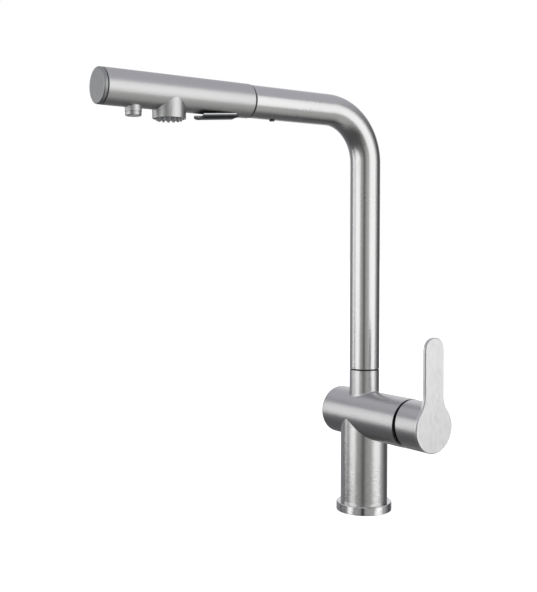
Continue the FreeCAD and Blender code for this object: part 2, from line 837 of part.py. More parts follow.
def handle_sleeve():
    """The lever's sleeve, whose back rim is cut at a slant so that the lever can tilt out."""
    sleeve = tube("sleeve_stock", "cross", "sleeve_diameter / 2",
                  "sleeve_diameter / 2 - sleeve_wall",
                  "cross_front", "plate_outer - plate_thickness")
    rise = size("gap_bottom") - size("gap_top")
    span = size("sleeve_diameter")
    body = doc.addObject("PartDesign::Body", "sleeve_trim")
    sketch = sketch_on(body, "XZ_Plane", "sleeve_trim_section")
    outline(sketch, [
        ("cross_front - gap_bottom", "cross_height - sleeve_diameter"),
        ("cross_front + gap_bottom + ( gap_bottom - gap_top ) / 2",
         "cross_height - sleeve_diameter"),
        ("cross_front + gap_top - ( gap_bottom - gap_top ) / 2",
         "cross_height + sleeve_diameter"),
        ("cross_front - gap_bottom", "cross_height + sleeve_diameter"),
    ])
    pad = body.newObject("PartDesign::Pad", "sleeve_trim_pad")
    pad.Profile = sketch
    pad.setExpression("Length", formula("2 * sleeve_diameter"))
    pad.Midplane = True
    trimmed = cut("sleeve_trimmed", sleeve, [body])
    doc.recompute()
    slope = rise / span
    outer = span / 2

    def at_rim(point):
        from_axis = sqrt(point.y**2 + (point.z - size("cross_height")) ** 2)
        middle = size("cross_front") + (size("gap_top") + size("gap_bottom")) / 2
        on_cut = near(point.x, middle - slope * (point.z - size("cross_height")))
        return near(from_axis, outer) and on_cut

    eased = doc.addObject("Part::Chamfer", "sleeve_eased")
    eased.Base = trimmed
    eased.Edges = [
        (number, size("edge_break"), size("edge_break"))
        for number in edges_where(trimmed.Shape, at_rim)
    ]
    access = rod("grub_access", "spray", "plug_diameter / 2 + fit_gap",
                 "0 - sleeve_diameter", "0", across="grub_forward",
                 up="cross_height - spout_height")
    return cut("handle_sleeve", eased, [access])


def handle_plate():
    """The lever: a keyhole-shaped plate, a disc that narrows into a straight blade."""
    body = doc.addObject("PartDesign::Body", "plate_blank")
    sketch = sketch_on(body, "YZ_Plane", "plate_outline")
    disc, flare = size("plate_disc_diameter") / 2, size("blade_flare")
    half, top = size("blade_width") / 2, size("blade_top")
    centre_up = sqrt((disc + flare) ** 2 - (half + flare) ** 2)
    meet = Vector(half + flare, centre_up, 0) * (disc / (disc + flare))
    across = Vector(0, 0, 1)

    def arc(centre, radius, start, end):
        """The arc from start to end that turns anticlockwise."""
        circle = Part.Circle(centre, across, radius)
        return Part.ArcOfCircle(circle, circle.parameter(start), circle.parameter(end))

    right, left = Vector(half, centre_up, 0), Vector(-half, centre_up, 0)
    shoulder = top - half
    mirror = Vector(-meet.x, meet.y, 0)
    sketch.addGeometry([
        arc(Vector(), disc, mirror, meet),
        arc(Vector(half + flare, centre_up, 0), flare, right, meet),
        Part.LineSegment(right, Vector(half, shoulder, 0)),
        arc(Vector(0, shoulder, 0), half, Vector(half, shoulder, 0), Vector(-half, shoulder, 0)),
        Part.LineSegment(Vector(-half, shoulder, 0), left),
        arc(Vector(-half - flare, centre_up, 0), flare, mirror, left),
    ], False)
    tangent = ((0, 2, 1, 2), (1, 1, 2, 1), (2, 2, 3, 1), (3, 2, 4, 1), (4, 2, 5, 2), (5, 1, 0, 1))
    for pair in tangent:
        sketch.addConstraint(Sketcher.Constraint("Tangent", *pair))
    sketch.addConstraint(Sketcher.Constraint("Coincident", 0, 3, -1, 1))
    sketch.addConstraint(Sketcher.Constraint("PointOnObject", 3, 3, -2))
    sketch.addConstraint(Sketcher.Constraint("Vertical", 2))
    sketch.addConstraint(Sketcher.Constraint("Vertical", 4))
    bind(sketch, "Radius", 0, "plate_disc_diameter / 2")
    bind(sketch, "Radius", 1, "blade_flare")
    bind(sketch, "Radius", 5, "blade_flare")
    bind(sketch, "Radius", 3, "blade_width / 2")
    bind(sketch, "DistanceY", -1, 1, 3, 3, "blade_top - blade_width / 2")
    pad = body.newObject("PartDesign::Pad", "plate_pad")
    pad.Profile = sketch
    pad.setExpression("Length", formula("plate_thickness"))
    drive(body, Placement__Base__x="plate_outer - plate_thickness",
          Placement__Base__z="cross_height")
    doc.recompute()
    edge = size("plate_thickness")
    eased = body.newObject("PartDesign::Chamfer", "plate_eased")
    eased.Base = (pad, ["Edge%d" % number for number in edges_where(
        pad.Shape, lambda point: near(point.x, edge))])
    eased.setExpression("Size", formula("plate_break"))
    boss = rod("boss_stock", "cross", "boss_diameter / 2", "boss_back",
               "plate_outer - plate_thickness / 2")
    lever = joined("plate_and_boss", [body, boss])
    half_slot = "( stem_slot / 2 )"
    socket = block(
        "stem_socket",
        ("boss_back - overcut", "0 - " + half_slot, "cross_height - " + half_slot),
        ("stem_end + soft_gap", half_slot, "cross_height + " + half_slot),
    )
    thread = rod("grub_thread", "spray", "grub_diameter / 2 + fit_gap", "0 - boss_diameter",
                 "0", across="grub_forward", up="cross_height - spout_height")
    return cut("handle_plate", lever, [socket, thread])


def handle_grub_screw():
    """The socket screw that holds the lever on its stem."""
    inner = "stem_slot / 2"
    screw = rod("grub_stock", "spray", "grub_diameter / 2",
                "0 - ( %s ) - grub_length" % inner, "0 - ( %s )" % inner,
                across="grub_forward", up="cross_height - spout_height")
    hexagon = doc.addObject("Part::Prism", "grub_socket")
    hexagon.Polygon = 6
    hexagon.Placement = Placement(Vector(), Rotation(Vector(1, 0, 0), 90))
    drive(hexagon, Circumradius="grub_diameter / 4", Height="grub_length / 2",
          Placement__Base__x="grub_forward", Placement__Base__z="cross_height",
          Placement__Base__y="stem_slot / 2 + grub_length + fit_gap")
    return cut("handle_grub_screw", screw, [hexagon])


def handle_plug():
    """The plastic plug over the grub screw, at the back of the sleeve."""
    outer = "( sleeve_diameter / 2 - plug_inset )"
    return rod("handle_plug", "spray", "plug_diameter / 2", "0 - " + outer,
               "0 - %s + plug_length" % outer, across="grub_forward",
               up="cross_height - spout_height")


# --------------------------------------------------------------------------- swivel joint

BUSH_OUTER = "( spout_diameter / 2 - neck_wall - fit_gap )"
BUSH_INNER = "( spout_diameter / 2 - neck_wall - fit_gap - bush_wall )"
JOURNAL_OUTER = "( spout_diameter / 2 - neck_wall - fit_gap - bush_wall - running_gap )"
JOURNAL_INNER = JOURNAL_OUTER + " - journal_wall"
RING_CENTRE = "( %s - fit_gap - o_ring_section / 2 )" % BUSH_INNER
TUBE_BORE = "( spout_diameter / 2 - spout_wall - fit_gap )"
SWIVEL_TOP = "neck_height + swivel_gap"


def torus(label, axis, centre, section, station):
    """A rubber O-ring at a station along an axis."""
    ring = doc.addObject("Part::Torus", label)
    drive(ring, Radius1=centre, Radius2="( %s ) / 2" % section)
    return put(ring, axis, along=station)


def swivel_bush():
    """The acetal bush in the neck, which the spout's journal turns in."""
    blank = tube("bush_blank", "column", BUSH_OUTER, BUSH_INNER, "bush_foot",
                 "neck_height - fit_gap")
    hole = rod("bush_stop_hole", "spray", "stop_diameter / 2 + fit_gap", "0 - spout_diameter",
               "0", up="stop_height - spout_height")
    return cut("swivel_bush", blank, [hole])


def swivel_washer():
    """The black washer that shows as a thin line between neck and spout."""
    return tube("swivel_washer", "column", "spout_diameter / 2 - washer_inset",
                JOURNAL_OUTER + " + soft_gap", "neck_height", SWIVEL_TOP + " - fit_gap")


def swivel_stop_screw():
    """The screw at the back of the neck whose tip limits how far the spout turns."""
    tip = "( %s - stop_reach )" % JOURNAL_OUTER
    return rod("swivel_stop_screw", "spray", "stop_diameter / 2 - fit_gap",
               "0 - ( spout_diameter / 2 - stop_inset )", "0 - " + tip,
               up="stop_height - spout_height")


def swivel_journal():
    """The brass journal fixed in the spout's foot, with its O-ring, clip and stop grooves."""
    clip_top = "bush_foot - clip_drop"
    corners = [
        (JOURNAL_INNER, "journal_foot"),
        (JOURNAL_OUTER, "journal_foot"),
        (JOURNAL_OUTER, clip_top + " - clip_height"),
        (JOURNAL_OUTER + " - clip_depth", clip_top + " - clip_height"),
        (JOURNAL_OUTER + " - clip_depth", clip_top),
        (JOURNAL_OUTER, clip_top),
    ]
    groove = "( o_ring_section / 2 + fit_gap )"
    for level in ("o_ring_low", "o_ring_high"):
        corners += [
            (JOURNAL_OUTER, "%s - %s" % (level, groove)),
            (RING_CENTRE + " - " + groove, "%s - %s" % (level, groove)),
            (RING_CENTRE + " - " + groove, "%s + %s" % (level, groove)),
            (JOURNAL_OUTER, "%s + %s" % (level, groove)),
        ]
    corners += [
        (JOURNAL_OUTER, SWIVEL_TOP),
        (TUBE_BORE, SWIVEL_TOP),
        (TUBE_BORE, "journal_head"),
        (JOURNAL_INNER, "journal_head"),
    ]
    blank = turned("journal_blank", "column", corners)
    body = doc.addObject("PartDesign::Body", "stop_slot")
    sketch = sketch_on(body, "XZ_Plane", "stop_slot_section")
    inner = "( %s - stop_reach - stop_clearance )" % JOURNAL_OUTER
    half = "( stop_diameter / 2 + running_gap )"
    outline(sketch, [
        (inner, "stop_height - " + half),
        (JOURNAL_OUTER + " + overcut", "stop_height - " + half),
        (JOURNAL_OUTER + " + overcut", "stop_height + " + half),
        (inner, "stop_height + " + half),
    ])
    turn = body.newObject("PartDesign::Revolution", "stop_slot_turn")
    turn.Profile = sketch
    turn.ReferenceAxis = (sketch, ["V_Axis"])
    turn.Midplane = True
    turn.setExpression("Angle", formula(
        "( 2 * swivel_each_way + stop_slack ) * 1 deg"
        " + 2 * asin(stop_diameter / 2 / ( %s - stop_reach ))" % JOURNAL_OUTER
    ))
    body.Placement = Placement(Vector(), Rotation(Vector(0, 0, 1), 90))
    return cut("swivel_journal", blank, [body])


def swivel_o_rings():
    """Two rubber rings in the journal, which keep the swivel quiet and firm."""
    return joined("swivel_o_rings", [
        torus("o_ring_" + level, "column", RING_CENTRE, "o_ring_section", "o_ring_" + level)
        for level in ("low", "high")
    ])


def spout_clip():
    """The open steel ring under the bush that keeps the spout from lifting out."""
    bottom = "bush_foot - clip_drop - clip_height + fit_gap"
    ring = tube("clip_ring", "column", "spout_diameter / 2 - neck_wall - clip_inset",
                JOURNAL_OUTER + " - clip_depth + fit_gap", bottom,
                "bush_foot - clip_drop - fit_gap")
    half = "clip_opening / 2"
    gap = block("clip_gap", ("0", "0 - " + half, bottom + " - overcut"),
                ("spout_diameter", half, "bush_foot"))
    return cut("spout_clip", ring, [gap])


# --------------------------------------------------------------------------- spout and dock


def spout_tube():
    """The bent steel tube: up from the neck, once round, and level to its mouth."""
    tube_body = bent_run(
        "spout_bent", "YZ_Plane", "0", SWIVEL_TOP, "spout_height", "spout_bend",
        "0 - spout_mouth", ("spout_diameter / 2", "spout_diameter / 2 - spout_wall"),
    )
    doc.recompute()
    sweep = tube_body.Tip
    outer, foot, mouth = size("spout_diameter / 2"), size(SWIVEL_TOP), size("spout_mouth")
    level = size("spout_height")

    def at_end(point):
        at_foot = near(point.z, foot) and near(sqrt(point.x**2 + point.y**2), outer)
        from_axis = sqrt(point.x**2 + (point.z - level) ** 2)
        return at_foot or (near(point.y, -mouth) and near(from_axis, outer))

    eased = tube_body.newObject("PartDesign::Chamfer", "spout_eased")
    eased.Base = (sweep, ["Edge%d" % number for number in edges_where(sweep.Shape, at_end)])
    eased.setExpression("Size", formula("edge_break"))
    hole = dock_screw_rod("dock_screw_hole", "dock_screw_diameter / 2 + fit_gap", "0",
                          "spout_diameter")
    return cut("spout_tube", tube_body, [hole])


DOCK_OUTER = "( spout_diameter / 2 - spout_wall - fit_gap )"


def dock_screw_rod(label, radius, inner, outer):
    """A rod from below into the spout, square to the spray axis at the dock screw."""
    return rod(label, "column", radius, "spout_height - ( %s )" % outer,
               "spout_height - ( %s )" % inner, up="0 - dock_screw_reach")


def docking_sleeve():
    """The acetal sleeve in the spout's mouth that guides and grips the spray head's stud."""
    blank = turned("dock_blank", "spray", [
        ("dock_bore / 2 + dock_back_lead", "dock_back"),
        (DOCK_OUTER, "dock_back"),
        (DOCK_OUTER, "spout_mouth - fit_gap"),
        ("dock_bore / 2 + dock_lead", "spout_mouth - fit_gap"),
        ("dock_bore / 2", "spout_mouth - dock_lead_length"),
        ("dock_bore / 2", "dock_back + dock_back_lead_length"),
    ])
    hole = dock_screw_rod("dock_screw_seat", "dock_screw_diameter / 2 + fit_gap", "0",
                          "spout_diameter")
    return cut("docking_sleeve", blank, [hole])


def docking_screw():
    """The small black screw under the spout that holds the docking sleeve."""
    return dock_screw_rod("docking_screw", "dock_screw_diameter / 2",
                          "dock_bore / 2 + dock_screw_inset",
                          "spout_diameter / 2 + dock_screw_proud")


def joint_ring():
    """The dark ring in the joint between the spout and the spray head."""
    return tube("joint_ring", "spray", "spout_diameter / 2 - joint_ring_inset",
                "dock_bore / 2 + dock_lead", "spout_mouth", "spout_mouth + joint_ring_width")


def hose():
    """The braided hose, from the foot up the column and round the spout to its end fitting."""
    return bent_run("hose", "YZ_Plane", "0", "hose_foot", "spout_height", "spout_bend",
                    "0 - hose_end", ("hose_diameter / 2",))


# --------------------------------------------------------------------------- spray head

HEAD_BACK = "( spout_mouth + joint_ring_width + fit_gap )"
HEAD_BORE = "( head_diameter / 2 - head_wall )"
STUD_RADIUS = "( stud_diameter / 2 )"


def hose_fitting():
    """The brass end crimped on the hose, held in the docking stud."""
    return turned("hose_fitting", "spray", [
        ("hose_diameter / 2 + fit_gap", "fitting_back"),
        ("fitting_diameter / 2 - fitting_break", "fitting_back"),
        ("fitting_diameter / 2", "fitting_back + fitting_break"),
        ("fitting_diameter / 2", "fitting_front"),
        ("fitting_bore / 2", "fitting_front"),
        ("fitting_bore / 2", "hose_end + fit_gap"),
        ("hose_diameter / 2 + fit_gap", "hose_end + fit_gap"),
    ])


def hose_washer():
    """The rubber washer between the hose fitting and the stud."""
    return tube("hose_washer", "spray", "fitting_diameter / 2", "fitting_bore / 2",
                "fitting_front", "fitting_front + washer_height")


DOCK_RING_CENTRE = "( dock_bore / 2 - fit_gap - o_ring_section / 2 )"


def docking_stud():
    """The stud at the back of the head: it holds the hose and slides into the dock."""
    groove = "( o_ring_section / 2 + fit_gap )"
    shoulder = "fitting_front + washer_height + fit_gap"
    return turned("docking_stud", "spray", [
        ("fitting_diameter / 2 + fit_gap", "fitting_back + stud_inset"),
        (STUD_RADIUS + " - stud_break", "fitting_back + stud_inset"),
        (STUD_RADIUS, "fitting_back + stud_inset + stud_break"),
        (STUD_RADIUS, "dock_ring_reach - " + groove),
        (DOCK_RING_CENTRE + " - " + groove, "dock_ring_reach - " + groove),
        (DOCK_RING_CENTRE + " - " + groove, "dock_ring_reach + " + groove),
        (STUD_RADIUS, "dock_ring_reach + " + groove),
        (STUD_RADIUS, HEAD_BACK + " + fit_gap"),
        (HEAD_BORE + " - fit_gap", HEAD_BACK + " + fit_gap"),
        (HEAD_BORE + " - fit_gap", "waterway_back - fit_gap"),
        (STUD_RADIUS, "waterway_back - fit_gap"),
        (STUD_RADIUS, "stud_front"),
        ("stud_water_bore / 2", "stud_front"),
        ("stud_water_bore / 2", shoulder),
        ("fitting_diameter / 2 + fit_gap", shoulder),
    ])


def docking_o_ring():
    """The rubber ring on the stud that grips the docking sleeve."""
    return torus("docking_o_ring", "spray", DOCK_RING_CENTRE, "o_ring_section",
                 "dock_ring_reach")


def check_valve():
    """The plastic check-valve cartridge pushed into the stud's water bore."""
    front = "stud_front - valve_cartridge_inset"
    back = front + " - valve_cartridge_length"
    return turned("check_valve", "spray", [
        ("0", back),
        ("valve_cartridge_diameter / 2 - fitting_break", back),
        ("valve_cartridge_diameter / 2", back + " + fitting_break"),
        ("valve_cartridge_diameter / 2", front),
        ("valve_cartridge_diameter / 4", front),
        ("valve_cartridge_diameter / 4", front + " - valve_cartridge_hole"),
        ("0", front + " - valve_cartridge_hole"),
    ])


def pocket_block(label, margin, top):
    """The lever's pocket in the underside of the head."""
    half = "( pocket_width / 2 + %s )" % margin
    return block(
        label,
        ("0 - " + half, "0 - pocket_front - " + margin, "spout_height - head_diameter"),
        (half, margin + " - pocket_back", "spout_height - ( %s )" % top),
    )


STREAM_BOTTOM = "( stream_drop + stream_ring_gap + stream_ring_height )"
AERATOR_TOP = "( %s - aerator_recess - aerator_height )" % STREAM_BOTTOM
PLATE_TOP = "( spray_drop - spray_recess - spray_plate_height )"
NOZZLE_TOP = "( %s - nozzle_mat_height )" % PLATE_TOP


def head_shell():
    """The steel shell of the spray head, with the two outlet collars welded on."""
    stock = turned("head_stock", "spray", [
        ("0", HEAD_BACK),
        ("head_diameter / 2 - head_break", HEAD_BACK),
        ("head_diameter / 2", HEAD_BACK + " + head_break"),
        ("head_diameter / 2", "head_front - head_break"),
        ("head_diameter / 2 - head_break", "head_front"),
        ("0", "head_front"),
    ])
    collars = [
        rod("spray_collar_stock", "shower", "spray_diameter / 2", "0", "spray_drop"),
        rod("stream_collar_stock", "stream", "stream_diameter / 2", "0", "stream_drop"),
    ]
    solid = joined("head_and_collars", [stock] + collars)
    tools = [
        rod("head_bore_tool", "spray", HEAD_BORE, HEAD_BACK + " - overcut",
            "head_front + overcut"),
        rod("spray_collar_bore", "shower", "spray_diameter / 2 - spray_wall", "0",
            "spray_drop + overcut"),
        rod("stream_collar_bore", "stream", "stream_diameter / 2 - stream_wall", "0",
            "stream_drop + overcut"),
        pocket_block("shell_pocket", "0", "pocket_top"),
    ]
    return cut("head_shell", solid, tools)


def head_waterway():
    """The plastic waterway inside the shell: water bore, diverter seat and outlet chambers."""
    stock = rod("waterway_stock", "spray", HEAD_BORE + " - soft_gap", "waterway_back",
                "waterway_front")
    bosses = [
        rod("spray_boss", "shower", "spray_diameter / 2 - spray_wall - fit_gap", "0",
            NOZZLE_TOP + " - fit_gap"),
        rod("stream_boss", "stream", "stream_diameter / 2 - stream_wall - fit_gap", "0",
            "stream_drop - stream_boss_inset"),
    ]
    solid = joined("waterway_and_bosses", [stock] + bosses)
    tools = [
        rod("water_bore", "spray", "stud_water_bore / 2", "waterway_back - overcut",
            "stream_reach + aerator_diameter / 2"),
        rod("stud_seat", "spray", STUD_RADIUS + " + fit_gap", "waterway_back - overcut",
            "stud_front + fit_gap"),
        rod("spray_chamber", "shower", "spray_diameter / 3", "0", "spray_drop"),
        rod("stream_bore", "stream", "aerator_diameter / 3", "0", "stream_drop"),
        rod("aerator_seat", "stream", "aerator_diameter / 2 + fit_gap",
            AERATOR_TOP + " - seal_section", "stream_drop"),
        pocket_block("waterway_pocket", "soft_gap", "pocket_top - soft_gap"),
        rod("spool_bore", "spool", "spool_diameter / 2 + running_gap", "0",
            "head_diameter / 2"),
        lever_rod("waterway_pin_hole", "lever_pin_diameter / 2 + fit_gap",
                  "lever_pin_length / 2 + lever_pin_gap"),
    ]
    return cut("head_waterway", solid, tools)


def lever_rod(label, radius, half_length):
    """A rod along X through the diverter lever's pivot."""
    piece = doc.addObject("Part::Cylinder", label)
    piece.Placement = Placement(Vector(), Rotation(Vector(0, 1, 0), 90))
    drive(piece, Radius=radius, Height="2 * ( %s )" % half_length,
          Placement__Base__x="0 - ( %s )" % half_length,
          Placement__Base__y="0 - lever_pivot_reach",
          Placement__Base__z="spout_height - lever_pivot_drop")
    return piece


def end_cap():
    """The steel cap that closes the head, with a rounded edge and a spigot."""
    cap = turned("end_cap", "spray", [
        ("0", "head_front - cap_spigot"),
        (HEAD_BORE + " - fit_gap", "head_front - cap_spigot"),
        (HEAD_BORE + " - fit_gap", "head_front + cap_seal_width"),
        ("head_diameter / 2 - cap_inset", "head_front + cap_seal_width"),
        ("head_diameter / 2 - cap_inset", "head_front + cap_seal_width + cap_length"),
        ("0", "head_front + cap_seal_width + cap_length"),
    ])
    doc.recompute()
    turn = cap.Tip
    face = size("head_front + cap_seal_width + cap_length")
    edge = size("head_diameter / 2 - cap_inset")

    def at_face(point):
        return near(point.z, face) and near(sqrt(point.x**2 + point.y**2), edge)

    eased = cap.newObject("PartDesign::Fillet", "cap_eased")
    wanted = edges_where(turn.Shape, at_face)
    eased.Base = (turn, ["Edge%d" % number for number in wanted])
    eased.setExpression("Radius", formula("cap_round"))
    return cap


def cap_seal():
    """The dark ring in the groove between the shell and the cap."""
    return tube("cap_seal", "spray", "head_diameter / 2 - cap_seal_inset", HEAD_BORE,
                "head_front", "head_front + cap_seal_width - fit_gap")


# --------------------------------------------------------------------------- outlets


def stream_ring():
    """The ring screwed into the small collar, which holds the aerator."""
    thread = "stream_diameter / 2 - stream_wall - fit_gap"
    bore = "aerator_diameter / 2 + fit_gap"
    top = "( stream_drop + stream_ring_gap )"
    inside = STREAM_BOTTOM + " - aerator_recess + fit_gap"
    return turned("stream_ring", "stream", [
        (bore, "stream_drop - stream_ring_thread"),
        (thread, "stream_drop - stream_ring_thread"),
        (thread, top),
        ("stream_ring_diameter / 2", top),
        ("stream_ring_diameter / 2", STREAM_BOTTOM + " - stream_ring_break"),
        ("stream_ring_diameter / 2 - stream_ring_break", STREAM_BOTTOM),
        (bore + " - stream_ring_lip", STREAM_BOTTOM),
        (bore + " - stream_ring_lip", inside),
        (bore, inside),
    ])


def ring_of(label, axis, radius, circle, count, start, end):
    """Rods evenly round a circle about an axis; one in the middle when count is 1."""
    first = rod(label + "_first", axis, radius, start, end, across=circle)
    if count == 1:
        return [first]
    rods = [first]
    for number in range(1, count):
        turn = "%d deg" % round(360 * number / count)
        rods.append(rod(
            "%s_%d" % (label, number), axis, radius, start, end,
            across="( %s ) * cos(%s)" % (circle, turn), up="( %s ) * sin(%s)" % (circle, turn),
        ))
    return rods


def aerator():
    """The plastic aerator pushed into the ring, with its grid of small holes."""
    bottom = STREAM_BOTTOM + " - aerator_recess"
    blank = rod("aerator_stock", "stream", "aerator_diameter / 2", AERATOR_TOP, bottom)
    outer_circle = "aerator_diameter / 2 - aerator_rim"
    rings = (("middle", "0", 1), ("inner", "( %s ) / 2" % outer_circle, 6),
             ("outer", outer_circle, 12))
    holes = []
    for name, circle, count in rings:
        holes += ring_of("aerator_" + name, "stream", "aerator_hole / 2", circle, count,
                         AERATOR_TOP + " - overcut", bottom + " + overcut")
    return cut("aerator", blank, holes)


def aerator_seal():
    """The rubber ring above the aerator, pressed into the waterway's seat."""
    return tube("aerator_seal", "stream", "aerator_diameter / 2",
                "aerator_diameter / 2 - aerator_seal_width",
                AERATOR_TOP + " - seal_section + fit_gap", AERATOR_TOP)


NOZZLE_RINGS = (("inner", 4), ("middle", 9), ("outer", 14))


def spray_plate():
    """The steel plate in the large collar, pierced for the nozzles."""
    blank = rod("spray_plate_stock", "shower", "spray_diameter / 2 - spray_wall - fit_gap",
                PLATE_TOP, PLATE_TOP + " + spray_plate_height")
    holes = []
    for name, count in NOZZLE_RINGS:
        holes += ring_of("plate_" + name, "shower", "nozzle_diameter / 2 + running_gap",
                         "nozzle_%s_ring" % name, count, PLATE_TOP + " - overcut",
                         PLATE_TOP + " + spray_plate_height + overcut")
    return cut("spray_plate", blank, holes)


def spray_nozzles():
    """The rubber mat behind the plate, with a nozzle through each hole."""
    mat = rod("nozzle_mat", "shower", "spray_diameter / 2 - spray_wall - 2 * fit_gap",
              NOZZLE_TOP, PLATE_TOP)
    nozzles = []
    for name, count in NOZZLE_RINGS:
        nozzles += ring_of("nozzle_" + name, "shower", "nozzle_diameter / 2",
                           "nozzle_%s_ring" % name, count,
                           PLATE_TOP + " - nozzle_mat_height / 2",
                           "spray_drop + nozzle_proud")
    solid = joined("nozzles_and_mat", [mat] + nozzles)
    bores = []
    for name, count in NOZZLE_RINGS:
        bores += ring_of("jet_" + name, "shower", "nozzle_diameter / 5",
                         "nozzle_%s_ring" % name, count, NOZZLE_TOP + " - overcut",
                         "spray_drop + nozzle_proud + overcut")
    return cut("spray_nozzles", solid, bores)


# --------------------------------------------------------------------------- diverter

SADDLE_BORE = "( head_diameter / 2 + lever_gap )"


def diverter_lever():
    """The saddle-shaped lever that hugs the head, drawn closed about its pivot, then opened."""
    def along(label, radius):
        piece = doc.addObject("Part::Cylinder", label)
        piece.Placement = Placement(Vector(), Rotation(Vector(1, 0, 0), 90))
        drive(piece, Radius=radius, Height="lever_front - lever_back",
              Placement__Base__y="lever_pivot_reach - lever_back",
              Placement__Base__z="lever_pivot_drop")
        return piece

    def across(label, radius, half):
        piece = doc.addObject("Part::Cylinder", label)
        piece.Placement = Placement(Vector(), Rotation(Vector(0, 1, 0), 90))
        drive(piece, Radius=radius, Height="2 * ( %s )" % half,
              Placement__Base__x="0 - ( %s )" % half)
        return piece

    shell = cut("saddle_shell", along("saddle_outer", SADDLE_BORE + " + lever_skin"),
                [along("saddle_inner", SADDLE_BORE)])
    strip = block(
        "saddle_strip",
        ("0 - lever_width / 2", "lever_pivot_reach - lever_front - overcut", "0 - head_diameter"),
        ("lever_width / 2", "lever_pivot_reach - lever_back + overcut", "0"),
    )
    saddle = doc.addObject("Part::MultiCommon", "saddle")
    saddle.Shapes = [shell, strip]
    floor = "lever_pivot_drop - %s - lever_skin / 2" % SADDLE_BORE
    web = block(
        "lever_web",
        ("0 - knuckle_width / 2", "0 - knuckle_web", floor),
        ("knuckle_width / 2", "0", "0"),
    )
    knuckle = across("lever_knuckle", "knuckle_diameter / 2", "knuckle_width / 2")
    solid = joined("lever_solid", [saddle, web, knuckle])
    hole = across("lever_pin_hole", "lever_pin_diameter / 2 + running_gap", "knuckle_width")
    lever = cut("diverter_lever", solid, [hole])
    lever.Placement = Placement(Vector(), Rotation(Vector(1, 0, 0), size("lever_open")))
    drive(lever, Placement__Base__y="0 - lever_pivot_reach",
          Placement__Base__z="spout_height - lever_pivot_drop")
    return lever


def lever_cover():
    """The small black plug that closes the back of the lever's pocket."""
    half = "( pocket_width / 2 - fit_gap )"
    return block(
        "lever_cover",
        ("0 - " + half, "0 - pocket_back - cover_length",
         "spout_height - head_diameter / 2 - cover_proud"),
        (half, "0 - pocket_back - fit_gap", "spout_height - pocket_top - cover_inset"),
    )


def lever_pin():
    """The steel pin that the diverter lever rocks on."""
    return lever_rod("lever_pin", "lever_pin_diameter / 2", "lever_pin_length / 2")


def diverter_spool():
    """The plunger that the lever lifts to send water to the other outlet."""
    arm = "( spool_reach - lever_pivot_reach )"
    drop = "( %s - lever_pivot_drop )" % SADDLE_BORE
    low = ("( lever_pivot_drop + %s * cos(lever_open * 1 deg) + %s * sin(lever_open * 1 deg)"
           " - spool_lift_gap )" % (drop, arm))
    return turned("diverter_spool", "spool", [
        ("0", low + " - spool_length"),
        ("spool_diameter / 2", low + " - spool_length"),
        ("spool_diameter / 2", low + " - spool_tip_length"),
        ("spool_tip / 2", low),
        ("0", low),
    ])


# --------------------------------------------------------------------------- the whole mixer

keep(base_ring(), deck_gasket(), column_tube(), cross_body(), brass_foot())
keep(supply_pipe("hot_pipe", "0 - port_side"), supply_pipe("cold_pipe", "port_side"))
keep(outlet_pipe(), valve_housing(), cartridge_base(), port_seals(), fixed_ceramic_disc())
keep(cartridge_housing(), cartridge_nut(), trim_ring())
keep(moving_ceramic_disc(), cartridge_carrier(), stem_pin())
keep(handle_stem(), handle_sleeve(), handle_plate(), handle_grub_screw(), handle_plug())
keep(swivel_bush(), swivel_washer(), swivel_stop_screw())
keep(swivel_journal(), swivel_o_rings(), spout_clip(), spout_tube())
keep(docking_sleeve(), docking_screw(), joint_ring(), hose())
keep(hose_fitting(), hose_washer(), docking_stud(), docking_o_ring(), check_valve())
keep(head_shell(), head_waterway(), end_cap(), cap_seal())
keep(stream_ring(), aerator(), aerator_seal(), spray_plate(), spray_nozzles())
keep(diverter_lever(), lever_cover(), lever_pin(), diverter_spool())
doc.recompute()

faults = [
    item.Label for item in doc.Objects
    if any(word in item.State for word in ("Invalid", "Error"))
]
faults += [
    piece.Label for piece in KEPT
    if piece.Shape.isNull() or not piece.Shape.isValid() or piece.Shape.Volume <= 0
]
if faults:
    raise RuntimeError("failed objects: " + ", ".join(faults))

for piece in KEPT:
    piece.Shape.exportStep("parts/%s.step" % piece.Label)
print("wrote %d sub-parts" % len(KEPT))
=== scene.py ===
import json
from math import atan2, cos, hypot, pi, radians, sin

import bmesh
import bpy
from mathutils import Matrix, Vector


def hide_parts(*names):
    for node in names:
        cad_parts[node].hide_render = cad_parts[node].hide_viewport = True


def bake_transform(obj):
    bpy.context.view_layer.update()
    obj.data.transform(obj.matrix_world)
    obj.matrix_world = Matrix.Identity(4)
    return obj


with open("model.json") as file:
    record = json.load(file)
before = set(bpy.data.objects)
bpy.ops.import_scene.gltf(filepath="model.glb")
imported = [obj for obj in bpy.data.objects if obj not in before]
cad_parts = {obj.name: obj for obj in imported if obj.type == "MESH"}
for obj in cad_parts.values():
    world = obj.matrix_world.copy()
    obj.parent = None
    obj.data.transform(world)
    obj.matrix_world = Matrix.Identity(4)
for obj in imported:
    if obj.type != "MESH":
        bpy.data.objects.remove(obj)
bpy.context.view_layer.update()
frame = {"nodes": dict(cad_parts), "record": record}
nodes = frame["nodes"]
scene = bpy.context.scene

